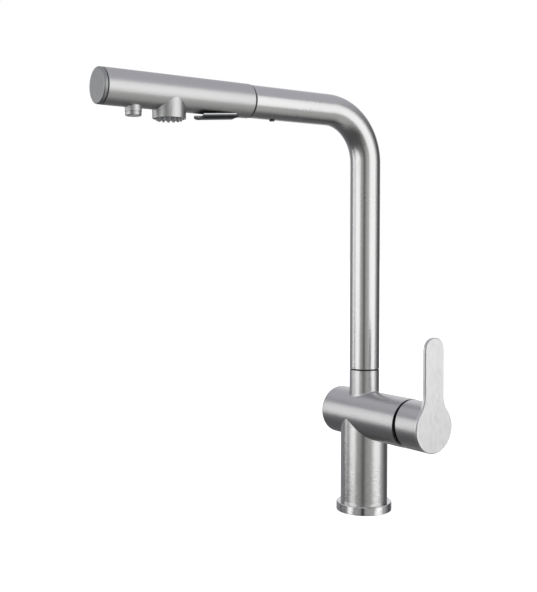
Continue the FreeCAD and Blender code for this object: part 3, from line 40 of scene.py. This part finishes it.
# --------------------------------------------------------------------------- camera
# The mixer is seen from the lever side, three quarters from the front, from about a metre away
# and from just above the middle of its height, with a lens a little longer than normal.
camera_place = Vector((0.6642, -0.5740, 0.2490))
camera_turn, camera_drop, camera_roll = radians(55.113), radians(2.98), radians(-0.069)
camera_data = bpy.data.cameras.new("camera")
camera_data.sensor_width = 36.0
camera_data.lens = 56.25
camera_data.clip_start = 0.05
camera = bpy.data.objects.new("camera", camera_data)
scene.collection.objects.link(camera)
camera.matrix_world = (
    Matrix.Translation(camera_place)
    @ Matrix.Rotation(camera_turn, 4, "Z")
    @ Matrix.Rotation(pi / 2 - camera_drop, 4, "X")
    @ Matrix.Rotation(camera_roll, 4, "Z")
)
scene.camera = camera

# --------------------------------------------------------------------------- studio
# A white sweep lit by four softboxes.  Steel shows what stands round it, so the room that it
# mirrors has grey walls with one dark gap beside the camera, a paler ceiling, and a dark floor
# that is pale only on the right.


def colour(code):
    """An sRGB hex value as linear red, green, blue and alpha."""
    parts = [int(code[at:at + 2], 16) / 255 for at in (1, 3, 5)]
    return [p / 12.92 if p <= 0.04045 else ((p + 0.055) / 1.055) ** 2.4 for p in parts] + [1.0]


def add(tree, kind, settings=None, stops=(), **inputs):
    """Add a node with its settings, ramp stops and inputs.

    Stops rise from a ramp's low end.  An input is named, or numbered as i0, i1 and so on, and
    takes a value or another node's output.
    """
    made = tree.nodes.new(kind)
    for name, value in (settings or {}).items():
        setattr(made, name, value)
    for at, (position, code) in enumerate(stops):
        mark = made.color_ramp.elements[at] if at < 2 else made.color_ramp.elements.new(position)
        mark.position = position
        mark.color = colour(code)
    for name, value in inputs.items():
        socket = made.inputs[int(name[1:]) if name[0] == "i" else name.replace("_", " ")]
        if isinstance(value, bpy.types.NodeSocket):
            tree.links.new(value, socket)
        else:
            socket.default_value = value
    return made


scene.view_settings.view_transform = "Standard"

world = bpy.data.worlds.new("studio_room")
world.use_nodes = True
scene.world = world
room = world.node_tree
room.nodes.clear()

# The walls and the floor change from one side of the room to the other.  Their ramps run once
# round the room, from a seam behind the mixer.
room_turn = radians(40.8)
facing = add(room, "ShaderNodeMapping", {"vector_type": "VECTOR"},
             Vector=add(room, "ShaderNodeTexCoord").outputs["Generated"],
             Rotation=(0.0, 0.0, room_turn))
facing = add(room, "ShaderNodeSeparateXYZ", Vector=facing.outputs[0]).outputs
round_room = add(room, "ShaderNodeMath", {"operation": "ARCTAN2"}, i0=facing["Y"], i1=facing["X"])
round_room = add(room, "ShaderNodeMapRange", Value=round_room.outputs[0], From_Min=-pi,
                 From_Max=pi).outputs[0]
walls = add(room, "ShaderNodeValToRGB", Fac=round_room, stops=[
    (0.000, "#d2d2d4"), (0.060, "#a4a4a8"), (0.150, "#9c9ca0"), (0.190, "#7a7a7e"),
    (0.260, "#a0a0a2"), (0.330, "#cacac8"), (0.430, "#c4c4c2"), (0.461, "#a4a4a2"),
    (0.477, "#484848"), (0.489, "#262626"), (0.499, "#4c4c4c"), (0.512, "#b4b4b4"),
    (0.535, "#c8c8c6"), (0.590, "#cfcfcd"), (0.720, "#cccccc"), (0.780, "#9c9c9e"),
    (0.830, "#505052"), (0.880, "#505052"), (0.930, "#9a9a9e"), (1.000, "#d2d2d4"),
]).outputs["Color"]
floor = add(room, "ShaderNodeValToRGB", Fac=round_room, stops=[
    (0.00, "#6a6a6c"), (0.25, "#5c5c5e"), (0.60, "#5a5a58"), (0.66, "#cacac8"),
    (0.76, "#c8c8c6"), (0.86, "#646466"), (1.00, "#6a6a6c"),
]).outputs["Color"]

# The ceiling and the floor fade in with height: level is 0 and straight up is 1.
wall_top, ceiling_edge = 0.25, 0.70
wall_foot, floor_edge = -0.05, -0.65
above = add(room, "ShaderNodeMapRange", {"interpolation_type": "SMOOTHSTEP"},
            Value=facing["Z"], From_Min=wall_top, From_Max=ceiling_edge).outputs[0]
below = add(room, "ShaderNodeMapRange", {"interpolation_type": "SMOOTHSTEP"},
            Value=facing["Z"], From_Min=wall_foot, From_Max=floor_edge).outputs[0]
shell = add(room, "ShaderNodeMix", {"data_type": "RGBA"}, Factor=above, i6=walls,
            i7=colour("#c9c9d0")).outputs[2]
shell = add(room, "ShaderNodeMix", {"data_type": "RGBA"}, Factor=below, i6=shell,
            i7=floor).outputs[2]
mirrored = add(room, "ShaderNodeBackground", Color=shell)
sweep = add(room, "ShaderNodeBackground", Color=colour("#ffffff"))
seen = add(room, "ShaderNodeLightPath").outputs["Is Camera Ray"]
seen = add(room, "ShaderNodeMixShader", Fac=seen, i1=mirrored.outputs[0], i2=sweep.outputs[0])
add(room, "ShaderNodeOutputWorld", Surface=seen.outputs[0])

# Each softbox is an ellipse that faces the mixer's middle.  Its bearing, rise, width and height
# are in degrees as the mixer sees them, and the last number is its brightness.
lit_middle = Vector((0.0, -0.06, 0.2))
softbox_distance = 2.2
for name, bearing, rise, wide, tall, radiance in (
    ("softbox_left", -100, 4, 50, 64, 1.0),
    ("softbox_right", 24, 6, 74, 68, 0.92),
    ("softbox_back_left", -140, 3, 22, 44, 1.1),
    ("softbox_behind", 138, 10, 56, 60, 0.25),
):
    width, drop = (2 * softbox_distance * sin(radians(angle / 2)) for angle in (wide, tall))
    light = bpy.data.lights.new(name, "AREA")
    light.shape = "ELLIPSE"
    light.size = width
    light.size_y = drop
    light.energy = radiance * pi * (pi * width * drop / 4)
    lamp = bpy.data.objects.new(name, light)
    scene.collection.objects.link(lamp)
    aim = Matrix.Rotation(radians(bearing), 4, "Z") @ Matrix.Rotation(radians(90 - rise), 4, "Y")
    lamp.matrix_world = (
        Matrix.Translation(lit_middle) @ aim @ Matrix.Translation((0, 0, softbox_distance))
        @ Matrix.Rotation(pi / 2, 4, "Z")
    )
    lamp.visible_camera = False

# --------------------------------------------------------------------------- table
# A wide board faced with matt white laminate, so even that only a faint speckle, 2 mm across,
# breaks its surface.  It isn't mirrored in the steel.


def new_material(name):
    """An empty node material and its tree."""
    made = bpy.data.materials.new(name)
    made.use_nodes = True
    made.node_tree.nodes.clear()
    return made, made.node_tree


laminate, tree = new_material("matt_white_laminate")
where = add(tree, "ShaderNodeTexCoord").outputs["Object"]
speckle = add(tree, "ShaderNodeTexNoise", Vector=where, Scale=600.0, Detail=3.0).outputs["Fac"]
tone = add(tree, "ShaderNodeValToRGB", Fac=speckle, stops=[(0.3, "#f4f4f4"), (0.7, "#fafafa")])
skin = add(tree, "ShaderNodeBsdfPrincipled", Base_Color=tone.outputs[0], Roughness=0.8,
           Emission_Color=colour("#ffffff"), Emission_Strength=0.72)
add(tree, "ShaderNodeOutputMaterial", Surface=skin.outputs[0])

table_half = 12.0
board = bmesh.new()
bmesh.ops.create_grid(board, x_segments=1, y_segments=1, size=table_half)
table_data = bpy.data.meshes.new("table_top")
board.to_mesh(table_data)
board.free()
table_data.materials.append(laminate)
table_top = bpy.data.objects.new("table_top", table_data)
scene.collection.objects.link(table_top)
table_top.visible_glossy = False

# --------------------------------------------------------------------------- column and cross tube
# 304 stainless steel tube: an upright column with a cross tube welded across its head, and the
# neck welded on that.  The welds are ground flush, and a belt brushes round the column and round
# the cross tube.
scratch_length = 60.0


def wear(material, *names):
    """Give carried-over nodes their finish."""
    for name in names:
        nodes[name].data.materials.clear()
        nodes[name].data.materials.append(material)


def crossing(axis):
    """Scratches that cross an axis, as round a straight tube: where they lie, how they tilt.

    A scratch is sixty times as long as it is wide.
    """
    tilt = [float(letter == axis) for letter in "XYZ"]
    squeeze = [1.0 if letter == axis else 1.0 / scratch_length for letter in "XYZ"]

    def lay(tree, where):
        stretched = add(tree, "ShaderNodeMapping", {"vector_type": "VECTOR"}, Vector=where,
                        Scale=squeeze)
        tilted = add(tree, "ShaderNodeCombineXYZ", X=tilt[0], Y=tilt[1], Z=tilt[2])
        return stretched.outputs[0], tilted.outputs[0]
    return lay


def brushed_steel(name, lay, code="#cccccc", roughness=0.25, depth=0.5, streaks=0.03):
    """Satin stainless steel.

    Each scratch tilts the surface a little along the way that it crosses, which smears what the
    steel mirrors along the tube and keeps the bands that run along it crisp.  A 180 grit belt
    leaves about twelve scratches to the millimetre.  The streaks that show are drawn one to the
    millimetre, five times coarser than real ones, and the faint smears are 30 mm across.  Streaks
    and smears change the roughness by a few hundredths.
    """
    scratches_per_mm, streaks_per_mm, smears_per_m = 12, 1, 30.0
    steel, tree = new_material(name)
    where = add(tree, "ShaderNodeTexCoord").outputs["Object"]
    grain, tilt = lay(tree, where)
    scratch = add(tree, "ShaderNodeTexNoise", Vector=grain, Scale=1000.0 * scratches_per_mm,
                  Detail=1.0)
    lean = add(tree, "ShaderNodeMath", {"operation": "MULTIPLY_ADD"},
               i0=scratch.outputs["Fac"], i1=depth, i2=-depth / 2).outputs[0]
    tilt = add(tree, "ShaderNodeVectorTransform",
               {"vector_type": "VECTOR", "convert_from": "OBJECT", "convert_to": "WORLD"},
               Vector=tilt).outputs[0]
    tilt = add(tree, "ShaderNodeVectorMath", {"operation": "SCALE"}, Vector=tilt, Scale=lean)
    leaning = add(tree, "ShaderNodeVectorMath", {"operation": "ADD"},
                  i0=add(tree, "ShaderNodeNewGeometry").outputs["Normal"], i1=tilt.outputs[0])
    leaning = add(tree, "ShaderNodeVectorMath", {"operation": "NORMALIZE"},
                  Vector=leaning.outputs[0]).outputs[0]
    streak = add(tree, "ShaderNodeTexNoise", Vector=grain, Scale=1000.0 * streaks_per_mm,
                 Detail=2.0, Roughness=0.7).outputs["Fac"]
    smear = add(tree, "ShaderNodeTexNoise", Vector=where, Scale=smears_per_m,
                Detail=3.0).outputs["Fac"]
    rough = add(tree, "ShaderNodeMath", {"operation": "MULTIPLY_ADD"}, i0=streak, i1=0.06,
                i2=roughness - 0.045).outputs[0]
    rough = add(tree, "ShaderNodeMath", {"operation": "MULTIPLY_ADD"}, i0=smear, i1=0.05,
                i2=rough).outputs[0]
    metal = colour(code)
    tone = add(tree, "ShaderNodeMix", {"data_type": "RGBA"}, Factor=streak,
               i6=[c * (1 - streaks) for c in metal[:3]] + [1.0],
               i7=[min(1.0, c * (1 + streaks)) for c in metal[:3]] + [1.0]).outputs[2]
    skin = add(tree, "ShaderNodeBsdfPrincipled", Base_Color=tone, Metallic=1.0,
               Roughness=rough, Normal=leaning)
    add(tree, "ShaderNodeOutputMaterial", Surface=skin.outputs[0])
    return steel


# The column mirrors the room in long upright bands.
wear(brushed_steel("brushed_stainless_column", crossing("Z")), "column_tube")

# The cross tube's belt is a little coarser, so its bands have softer edges.
cross_steel = brushed_steel("brushed_stainless_cross", crossing("X"), roughness=0.29)
wear(cross_steel, "cross_body")

# --------------------------------------------------------------------------- base ring and gasket
# The base ring is turned from stainless bar and lapped to a fine satin, so it mirrors more
# sharply than the tubes.  An EPDM rubber gasket under it seals the deck.


def moulded(name, code, pale, roughness=0.45, spark_mm=0.4, relief=0.04):
    """Moulded plastic or rubber: the tool's fine spark texture, and a slight drift of colour.

    Spark texture is about 0.05 mm across; it is drawn 0.4 mm across unless another size is given.
    The colour drifts in patches about 10 mm across.
    """
    made, tree = new_material(name)
    where = add(tree, "ShaderNodeTexCoord").outputs["Object"]
    drift = add(tree, "ShaderNodeTexNoise", Vector=where, Scale=90.0, Detail=4.0).outputs["Fac"]
    tone = add(tree, "ShaderNodeValToRGB", Fac=drift, stops=[(0.35, code), (0.7, pale)])
    spark = add(tree, "ShaderNodeTexNoise", Vector=where, Scale=1000.0 / spark_mm,
                Detail=2.0).outputs["Fac"]
    rough = add(tree, "ShaderNodeMath", {"operation": "MULTIPLY_ADD"}, i0=spark, i1=0.14,
                i2=roughness - 0.07).outputs[0]
    bump = add(tree, "ShaderNodeBump", Strength=relief, Distance=0.0003, Height=spark)
    skin = add(tree, "ShaderNodeBsdfPrincipled", Base_Color=tone.outputs[0], Roughness=rough,
               Normal=bump.outputs[0], IOR=1.5)
    add(tree, "ShaderNodeOutputMaterial", Surface=skin.outputs[0])
    return made


# Fine turned steel is nearly a mirror, and a shade brighter than brushed steel.
fine_steel = brushed_steel("fine_turned_stainless", crossing("Z"), code="#d6d6d6",
                           roughness=0.10, depth=0.3, streaks=0.02)
wear(fine_steel, "base_ring")

# EPDM rubber is black and quite without shine.
rubber = moulded("black_epdm_rubber", "#1b1b1c", "#242425", roughness=0.72, relief=0.12)
wear(rubber, "deck_gasket")

# --------------------------------------------------------------------------- foot, tubes and housing
# The foot is machined from free-cutting brass.  Tubes of soft drawn copper are brazed into it and
# into the valve housing, and keep the dull pink of heated metal.  The housing is a brass cup,
# soldered into the cross tube; its dull brown grey is painted shade for the gap under the handle.


def turned_metal(name, code, stain, roughness, pitch):
    """Machined, drawn or cast metal: fine marks from the tool, and an uneven stain.

    Real marks are 0.1 to 0.3 mm apart; the pitch, in metres, draws them four times coarser.  The
    stain lies in patches about 10 mm across.
    """
    made, tree = new_material(name)
    where = add(tree, "ShaderNodeTexCoord").outputs["Object"]
    cut = add(tree, "ShaderNodeTexWave", {"bands_direction": "Z"}, Vector=where,
              Scale=pi / (10 * pitch), Distortion=0.6, Detail=1.0).outputs["Fac"]
    patch = add(tree, "ShaderNodeTexNoise", Vector=where, Scale=110.0, Detail=5.0).outputs["Fac"]
    tone = add(tree, "ShaderNodeValToRGB", Fac=patch, stops=[(0.38, code), (0.72, stain)])
    rough = add(tree, "ShaderNodeMath", {"operation": "MULTIPLY_ADD"}, i0=patch, i1=0.18,
                i2=roughness - 0.09).outputs[0]
    bump = add(tree, "ShaderNodeBump", Strength=0.15, Distance=0.0001, Height=cut)
    skin = add(tree, "ShaderNodeBsdfPrincipled", Base_Color=tone.outputs[0], Metallic=1.0,
               Roughness=rough, Normal=bump.outputs[0])
    add(tree, "ShaderNodeOutputMaterial", Surface=skin.outputs[0])
    return made


# Machined brass is a bright pale yellow, with the fine rings of the tool.
brass = turned_metal("machined_brass", "#d8b878", "#c09a56", 0.28, 0.0006)
wear(brass, "brass_foot")

# Drawn copper has faint draw marks and a brown bloom where the torch has been.
wear(turned_metal("drawn_copper", "#dfa48a", "#a8664a", 0.34, 0.0012),
     "hot_pipe", "cold_pipe", "outlet_pipe")

# The cast brass housing is painted a dull brown grey as shade in the gap, so it doesn't show there.
wear(turned_metal("brass_painted_dark_as_gap_shade", "#57544c", "#3e3b36", 0.5, 0.0009), "valve_housing")

# --------------------------------------------------------------------------- cartridge
# A 35 mm ceramic-disc cartridge: acetal base, housing and carrier, and two lapped alumina discs
# that slide on each other.  Rubber seals close its ports, a steel pin carries the stem, and a
# brass nut holds it in the valve housing.

# Moulded acetal has a soft waxy gloss.
grey_acetal = moulded("grey_acetal", "#8f9092", "#9a9b9d", roughness=0.38)
wear(grey_acetal, "cartridge_base", "cartridge_housing")
white_acetal = moulded("white_acetal", "#dcdcd8", "#e6e6e2", roughness=0.36)
wear(white_acetal, "cartridge_carrier")

# Lapped alumina is ivory white and shines like glazed china.
wear(moulded("lapped_alumina", "#ecebe4", "#f4f3ee", roughness=0.16, spark_mm=0.25, relief=0.01),
     "fixed_ceramic_disc", "moving_ceramic_disc")

# Spring steel wire and ground pins are bright, cool grey and finely ringed.
spring_steel = turned_metal("bright_spring_steel", "#b9babd", "#a3a4a8", 0.24, 0.0004)
wear(spring_steel, "stem_pin")
wear(rubber, "port_seals")
wear(brass, "cartridge_nut")

# --------------------------------------------------------------------------- trim ring
# A collar of black glass-filled nylon, pushed in over the cartridge's nut.  Its rim is ribbed for
# grip, and the ribs and half-millimetre flecks of glass show in the gap under the handle.
ribs_round = 96
joints = {joint["name"]: joint for joint in frame["record"]["behaviour"]["joints"]}
cross_height = joints["handle_lift"]["pos_m"][2]

ribbed_nylon, tree = new_material("ribbed_glass_filled_nylon")
where = add(tree, "ShaderNodeTexCoord").outputs["Object"]
at = add(tree, "ShaderNodeSeparateXYZ", Vector=where).outputs
up = add(tree, "ShaderNodeMath", {"operation": "SUBTRACT"}, i0=at["Z"], i1=cross_height)
rib = add(tree, "ShaderNodeMath", {"operation": "ARCTAN2"}, i0=up.outputs[0], i1=at["Y"])
rib = add(tree, "ShaderNodeMath", {"operation": "MULTIPLY"}, i0=rib.outputs[0], i1=ribs_round)
rib = add(tree, "ShaderNodeMath", {"operation": "SINE"}, i0=rib.outputs[0]).outputs[0]
glass = add(tree, "ShaderNodeTexNoise", Vector=where, Scale=1800.0, Detail=3.0).outputs["Fac"]
tone = add(tree, "ShaderNodeValToRGB", Fac=glass, stops=[(0.35, "#1c1c1c"), (0.75, "#4a4a48")])
bump = add(tree, "ShaderNodeBump", Strength=0.9, Distance=0.0005, Height=rib)
bump = add(tree, "ShaderNodeBump", Strength=0.2, Distance=0.0003, Height=glass,
           Normal=bump.outputs[0])
skin = add(tree, "ShaderNodeBsdfPrincipled", Base_Color=tone.outputs[0], Roughness=0.5,
           Normal=bump.outputs[0])
add(tree, "ShaderNodeOutputMaterial", Surface=skin.outputs[0])
wear(ribbed_nylon, "trim_ring")

# --------------------------------------------------------------------------- handle
# A steel sleeve closed by a flat plate that is cut from 3 mm sheet, with the lever blade in one
# piece with it.  The plate is brushed along the blade and softer in gloss than the tubes.  A
# grub screw under an acetal plug holds the handle on its brass stem.
wear(cross_steel, "handle_sleeve")
wear(brushed_steel("brushed_stainless_plate", crossing("Y"), code="#dadada", roughness=0.34,
                   streaks=0.025), "handle_plate")
wear(brass, "handle_stem")
wear(spring_steel, "handle_grub_screw")
wear(grey_acetal, "handle_plug")

# --------------------------------------------------------------------------- swivel joint
# The spout's brass journal turns in a white acetal bush and on a black acetal washer, in the
# neck.  Rubber rings keep it quiet, a screw stops it at each side, and a spring clip holds it.

# Black acetal is as waxy as the white, so its thin edges still catch a little light.
black_acetal = moulded("black_acetal", "#161617", "#1e1e1f", roughness=0.4)
wear(black_acetal, "swivel_washer")
wear(white_acetal, "swivel_bush")
wear(brass, "swivel_journal")
wear(rubber, "swivel_o_rings")
wear(spring_steel, "swivel_stop_screw", "spout_clip")

# --------------------------------------------------------------------------- spout
# One length of 28 mm stainless tube, bent once on a 46 mm radius and brushed round its whole
# run.  Its foot is fixed over the swivel's journal.
bend_radius, bend_height = 0.046, 0.328


def round_the_bend(tree, where):
    """Scratches that run round the spout: up, round the bend and out along it."""
    place = add(tree, "ShaderNodeSeparateXYZ", Vector=where).outputs
    climb = add(tree, "ShaderNodeMath", {"operation": "SUBTRACT"}, i0=place["Z"], i1=bend_height)
    climb = add(tree, "ShaderNodeMath", {"operation": "MAXIMUM"}, i0=climb.outputs[0], i1=0.0)
    reach = add(tree, "ShaderNodeMath", {"operation": "ADD"}, i0=place["Y"], i1=bend_radius)
    inset = add(tree, "ShaderNodeMath", {"operation": "MAXIMUM"}, i0=reach.outputs[0], i1=0.0)
    lean = add(tree, "ShaderNodeMath", {"operation": "ARCTAN2"}, i0=climb.outputs[0],
               i1=inset.outputs[0]).outputs[0]
    rise = add(tree, "ShaderNodeMath", {"operation": "MINIMUM"}, i0=place["Z"], i1=bend_height)
    reach = add(tree, "ShaderNodeMath", {"operation": "MINIMUM"}, i0=reach.outputs[0], i1=0.0)
    run = add(tree, "ShaderNodeMath", {"operation": "MULTIPLY_ADD"}, i0=lean, i1=bend_radius,
              i2=rise.outputs[0])
    run = add(tree, "ShaderNodeMath", {"operation": "SUBTRACT"}, i0=run.outputs[0],
              i1=reach.outputs[0]).outputs[0]
    across = add(tree, "ShaderNodeMath", {"operation": "DIVIDE"}, i0=place["X"],
                 i1=scratch_length)
    slow = add(tree, "ShaderNodeMath", {"operation": "ADD"}, i0=place["Y"], i1=place["Z"])
    slow = add(tree, "ShaderNodeMath", {"operation": "DIVIDE"}, i0=slow.outputs[0],
               i1=scratch_length)
    stretched = add(tree, "ShaderNodeCombineXYZ", X=across.outputs[0], Y=run, Z=slow.outputs[0])
    back = add(tree, "ShaderNodeMath", {"operation": "SINE"}, i0=lean)
    back = add(tree, "ShaderNodeMath", {"operation": "MULTIPLY"}, i0=back.outputs[0], i1=-1.0)
    upward = add(tree, "ShaderNodeMath", {"operation": "COSINE"}, i0=lean)
    tilted = add(tree, "ShaderNodeCombineXYZ", Y=back.outputs[0], Z=upward.outputs[0])
    return stretched.outputs[0], tilted.outputs[0]


wear(brushed_steel("brushed_stainless_spout", round_the_bend), "spout_tube")

# --------------------------------------------------------------------------- docking sleeve
# A sleeve of white acetal in the spout's mouth takes the head's stud.  A black acetal screw
# holds it from below, and a ring of the same closes the joint.
wear(white_acetal, "docking_sleeve")
wear(black_acetal, "docking_screw", "joint_ring")

# --------------------------------------------------------------------------- hose
# The pull-out hose: an inner tube under a tight braid of grey nylon yarn, 12 mm across, with a
# brass end fitting.  It runs up the column, round the bend and into the spray head, and slides
# out through the spout.
hose_radius, hose_foot, hose_end = 0.006, 0.001, -0.115
hose_sides, run_rings, bend_rings = 24, 80, 24
pay_out_start = -0.050
pulled_out = joints["head_pull_out"]["range_m"][1]
hose_shape = bmesh.new()
bmesh.ops.create_circle(hose_shape, cap_ends=True, segments=hose_sides, radius=hose_radius)
bmesh.ops.translate(hose_shape, verts=hose_shape.verts[:], vec=(0, 0, hose_foot))
rim = hose_shape.edges[:]


def draw_out(edges, step):
    """Extrude a rim of the hose in equal steps and return the last rim."""
    for _ in range(run_rings):
        grown = bmesh.ops.extrude_edge_only(hose_shape, edges=edges)["geom"]
        bmesh.ops.translate(hose_shape, vec=step,
                            verts=[g for g in grown if isinstance(g, bmesh.types.BMVert)])
        edges = [g for g in grown if isinstance(g, bmesh.types.BMEdge)]
    return edges


rim = draw_out(rim, (0, 0, (bend_height - hose_foot) / run_rings))
turned = bmesh.ops.spin(hose_shape, geom=rim, cent=(0, -bend_radius, bend_height),
                        axis=(1, 0, 0), angle=pi / 2, steps=bend_rings)["geom_last"]
rim = [g for g in turned if isinstance(g, bmesh.types.BMEdge)]
rim = draw_out(rim, (0, (hose_end + bend_radius) / run_rings, 0))
bmesh.ops.contextual_create(hose_shape, geom=rim)
bmesh.ops.recalc_face_normals(hose_shape, faces=hose_shape.faces)

# The braid's map: across is the way round, up is the length of hose.  The stretch that leaves
# the spout last carries the length that is pulled out.
braid_map = hose_shape.loops.layers.uv.new("braid")


def hose_place(point):
    """How far round the hose a point is, and at what length of it."""
    if point.z < bend_height:
        return atan2(point.y, point.x), point.z
    if point.y < -bend_radius:
        share = min(max((pay_out_start - point.y) / (pay_out_start - hose_end), 0.0), 1.0)
        paid_out = pulled_out * share * share * (3 - 2 * share)
        length = bend_height + bend_radius * pi / 2 - bend_radius - point.y + paid_out
        return atan2(point.z - bend_height - bend_radius, point.x), length
    out, up = point.y + bend_radius, point.z - bend_height
    return (atan2(hypot(out, up) - bend_radius, point.x),
            bend_height + bend_radius * atan2(up, out))


def hose_order(face):
    """A face's rank along the hose and then round it, so that every run lists them alike."""
    angle, length = hose_place(face.calc_center_median())
    return 1e5 * length + angle


hose_shape.faces.sort(key=hose_order)
for face in hose_shape.faces:
    middle = hose_place(face.calc_center_median())[0]
    for loop in face.loops:
        angle, length = hose_place(loop.vert.co)
        angle += 2 * pi * round((middle - angle) / (2 * pi))
        loop[braid_map].uv = (angle / (2 * pi), length)
    face.smooth = len(face.verts) == 4
hose_data = bpy.data.meshes.new("braided_hose")
hose_shape.to_mesh(hose_data)
hose_shape.free()

# Nylon yarn: dull, slightly furry, in bands that cross each other under and over.  Real bands
# are about 2 mm wide; they are drawn 3 mm wide so that the weave shows.
bands_round, crossing_length = 12, 0.0034
nylon, tree = new_material("braided_nylon")
across = add(tree, "ShaderNodeUVMap", {"uv_map": "braid"}).outputs[0]
across = add(tree, "ShaderNodeSeparateXYZ", Vector=across).outputs
right = add(tree, "ShaderNodeMath", {"operation": "MULTIPLY"}, i0=across["X"],
            i1=float(bands_round))
lift = add(tree, "ShaderNodeMath", {"operation": "MULTIPLY"}, i0=across["Y"],
           i1=1 / crossing_length)
strands = []
for way in ("ADD", "SUBTRACT"):
    strand = add(tree, "ShaderNodeMath", {"operation": way}, i0=right.outputs[0],
                 i1=lift.outputs[0]).outputs[0]
    share = add(tree, "ShaderNodeMath", {"operation": "FRACT"}, i0=strand).outputs[0]
    ridge = add(tree, "ShaderNodeMath", {"operation": "MULTIPLY"}, i0=share, i1=pi).outputs[0]
    ridge = add(tree, "ShaderNodeMath", {"operation": "SINE"}, i0=ridge).outputs[0]
    cell = add(tree, "ShaderNodeMath", {"operation": "FLOOR"}, i0=strand).outputs[0]
    strands.append((ridge, cell))
over = add(tree, "ShaderNodeMath", {"operation": "ADD"}, i0=strands[0][1], i1=strands[1][1])
over = add(tree, "ShaderNodeMath", {"operation": "FLOORED_MODULO"}, i0=over.outputs[0], i1=2.0)
weave = add(tree, "ShaderNodeMix", {"data_type": "FLOAT"}, Factor=over.outputs[0],
            i2=strands[0][0], i3=strands[1][0]).outputs[0]
# The yarn is grey; the near black down between the strands is painted shade.
tone = add(tree, "ShaderNodeValToRGB", Fac=weave,
           stops=[(0.0, "#1d1e20"), (0.45, "#67696d"), (1.0, "#96989c")])
bump = add(tree, "ShaderNodeBump", Strength=0.8, Distance=0.0006, Height=weave)
skin = add(tree, "ShaderNodeBsdfPrincipled", Base_Color=tone.outputs[0], Roughness=0.62,
           Normal=bump.outputs[0], Sheen_Weight=0.25, Sheen_Roughness=0.5)
add(tree, "ShaderNodeOutputMaterial", Surface=skin.outputs[0])
hose_data.materials.append(nylon)
hose = bpy.data.objects.new("braided_hose", hose_data)
scene.collection.objects.link(hose)
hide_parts("hose")
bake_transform(hose)
wear(brass, "hose_fitting")
wear(rubber, "hose_washer")

# --------------------------------------------------------------------------- spray head
# A steel shell of the spout's own tube, swaged half a millimetre larger and brushed round.  A
# stud of grey acetal docks it, white acetal parts lead the water through it, and a pressed cap
# closes its nose on a black seal.

# The head is brushed with a coarser belt than the spout, so it mirrors more softly.
wear(brushed_steel("brushed_stainless_head", crossing("Y"), code="#c8c8c8", roughness=0.37),
     "head_shell")

# The cap's face is brushed straight up with a coarse pad, and is a dull, darker grey.
wear(brushed_steel("dull_brushed_stainless_cap", crossing("X"), code="#a4a5a6", roughness=0.45,
                   streaks=0.02), "end_cap")
wear(black_acetal, "cap_seal")
wear(grey_acetal, "docking_stud")
wear(rubber, "docking_o_ring")
wear(white_acetal, "check_valve", "head_waterway")

# --------------------------------------------------------------------------- outlets
# The stream outlet has a turned steel ring, screwed in, that holds its acetal aerator on a rubber
# seal.  The spray outlet has a fine steel plate with soft silicone nozzles, so that lime can be
# rubbed off.

# The ring is turned to a satin, which shows as soft rings of light.
wear(brushed_steel("satin_turned_ring", crossing("Z"), code="#bcbcbd", roughness=0.30,
                   depth=0.3, streaks=0.02), "stream_ring")
wear(grey_acetal, "aerator")
wear(rubber, "aerator_seal")
wear(fine_steel, "spray_plate")

# Silicone is dull and soft to the eye, with no sharp highlight on the nozzles.
wear(moulded("grey_silicone", "#6d6e70", "#7c7d7f", roughness=0.55, relief=0.08),
     "spray_nozzles")

# --------------------------------------------------------------------------- diverter
# A rocker pressed from steel and plated with black nickel, on a steel pin; it lifts a white acetal
# spool, and a black plug closes its pocket.  A pale grey band along its upper edge is a painted
# highlight, and the plating's gloss varies in patches 1 mm across.
lever_open = radians(joints["diverter_rock"]["range_deg"][1])
pivot = joints["diverter_rock"]["pos_m"]

# With the lever shut, its upper edge lies 1.2 mm below the pin.
edge_below_pin, highlight_band = 0.00117, 0.0006
lever_edge = pivot[2] * cos(lever_open) - pivot[1] * sin(lever_open) - edge_below_pin

black_nickel_and_highlight, tree = new_material("black_nickel_and_painted_edge_highlight")
where = add(tree, "ShaderNodeTexCoord").outputs["Object"]
shut = add(tree, "ShaderNodeMapping", {"vector_type": "POINT"}, Vector=where,
           Rotation=(-lever_open, 0.0, 0.0)).outputs[0]
level = add(tree, "ShaderNodeSeparateXYZ", Vector=shut).outputs["Z"]
# Where the painted highlight lies: a band just under the lever's upper edge.
edge_highlight = add(tree, "ShaderNodeMapRange", Value=level, From_Min=lever_edge - 2 * highlight_band,
           From_Max=lever_edge - highlight_band).outputs[0]
worn = add(tree, "ShaderNodeTexNoise", Vector=where, Scale=900.0, Detail=2.0).outputs["Fac"]
plating = add(tree, "ShaderNodeValToRGB", Fac=worn, stops=[(0.3, "#37383b"), (0.7, "#46474b")])
# The painted highlight is pale grey, mixed over the black plating.
tone = add(tree, "ShaderNodeMix", {"data_type": "RGBA"}, Factor=edge_highlight, i6=plating.outputs[0],
           i7=colour("#bfbfc0")).outputs[2]
rough = add(tree, "ShaderNodeMath", {"operation": "MULTIPLY_ADD"}, i0=worn, i1=0.12, i2=0.26)
skin = add(tree, "ShaderNodeBsdfPrincipled", Base_Color=tone, Metallic=1.0,
           Roughness=rough.outputs[0])
add(tree, "ShaderNodeOutputMaterial", Surface=skin.outputs[0])
wear(black_nickel_and_highlight, "diverter_lever")
wear(black_acetal, "lever_cover")
wear(spring_steel, "lever_pin")
wear(white_acetal, "diverter_spool")
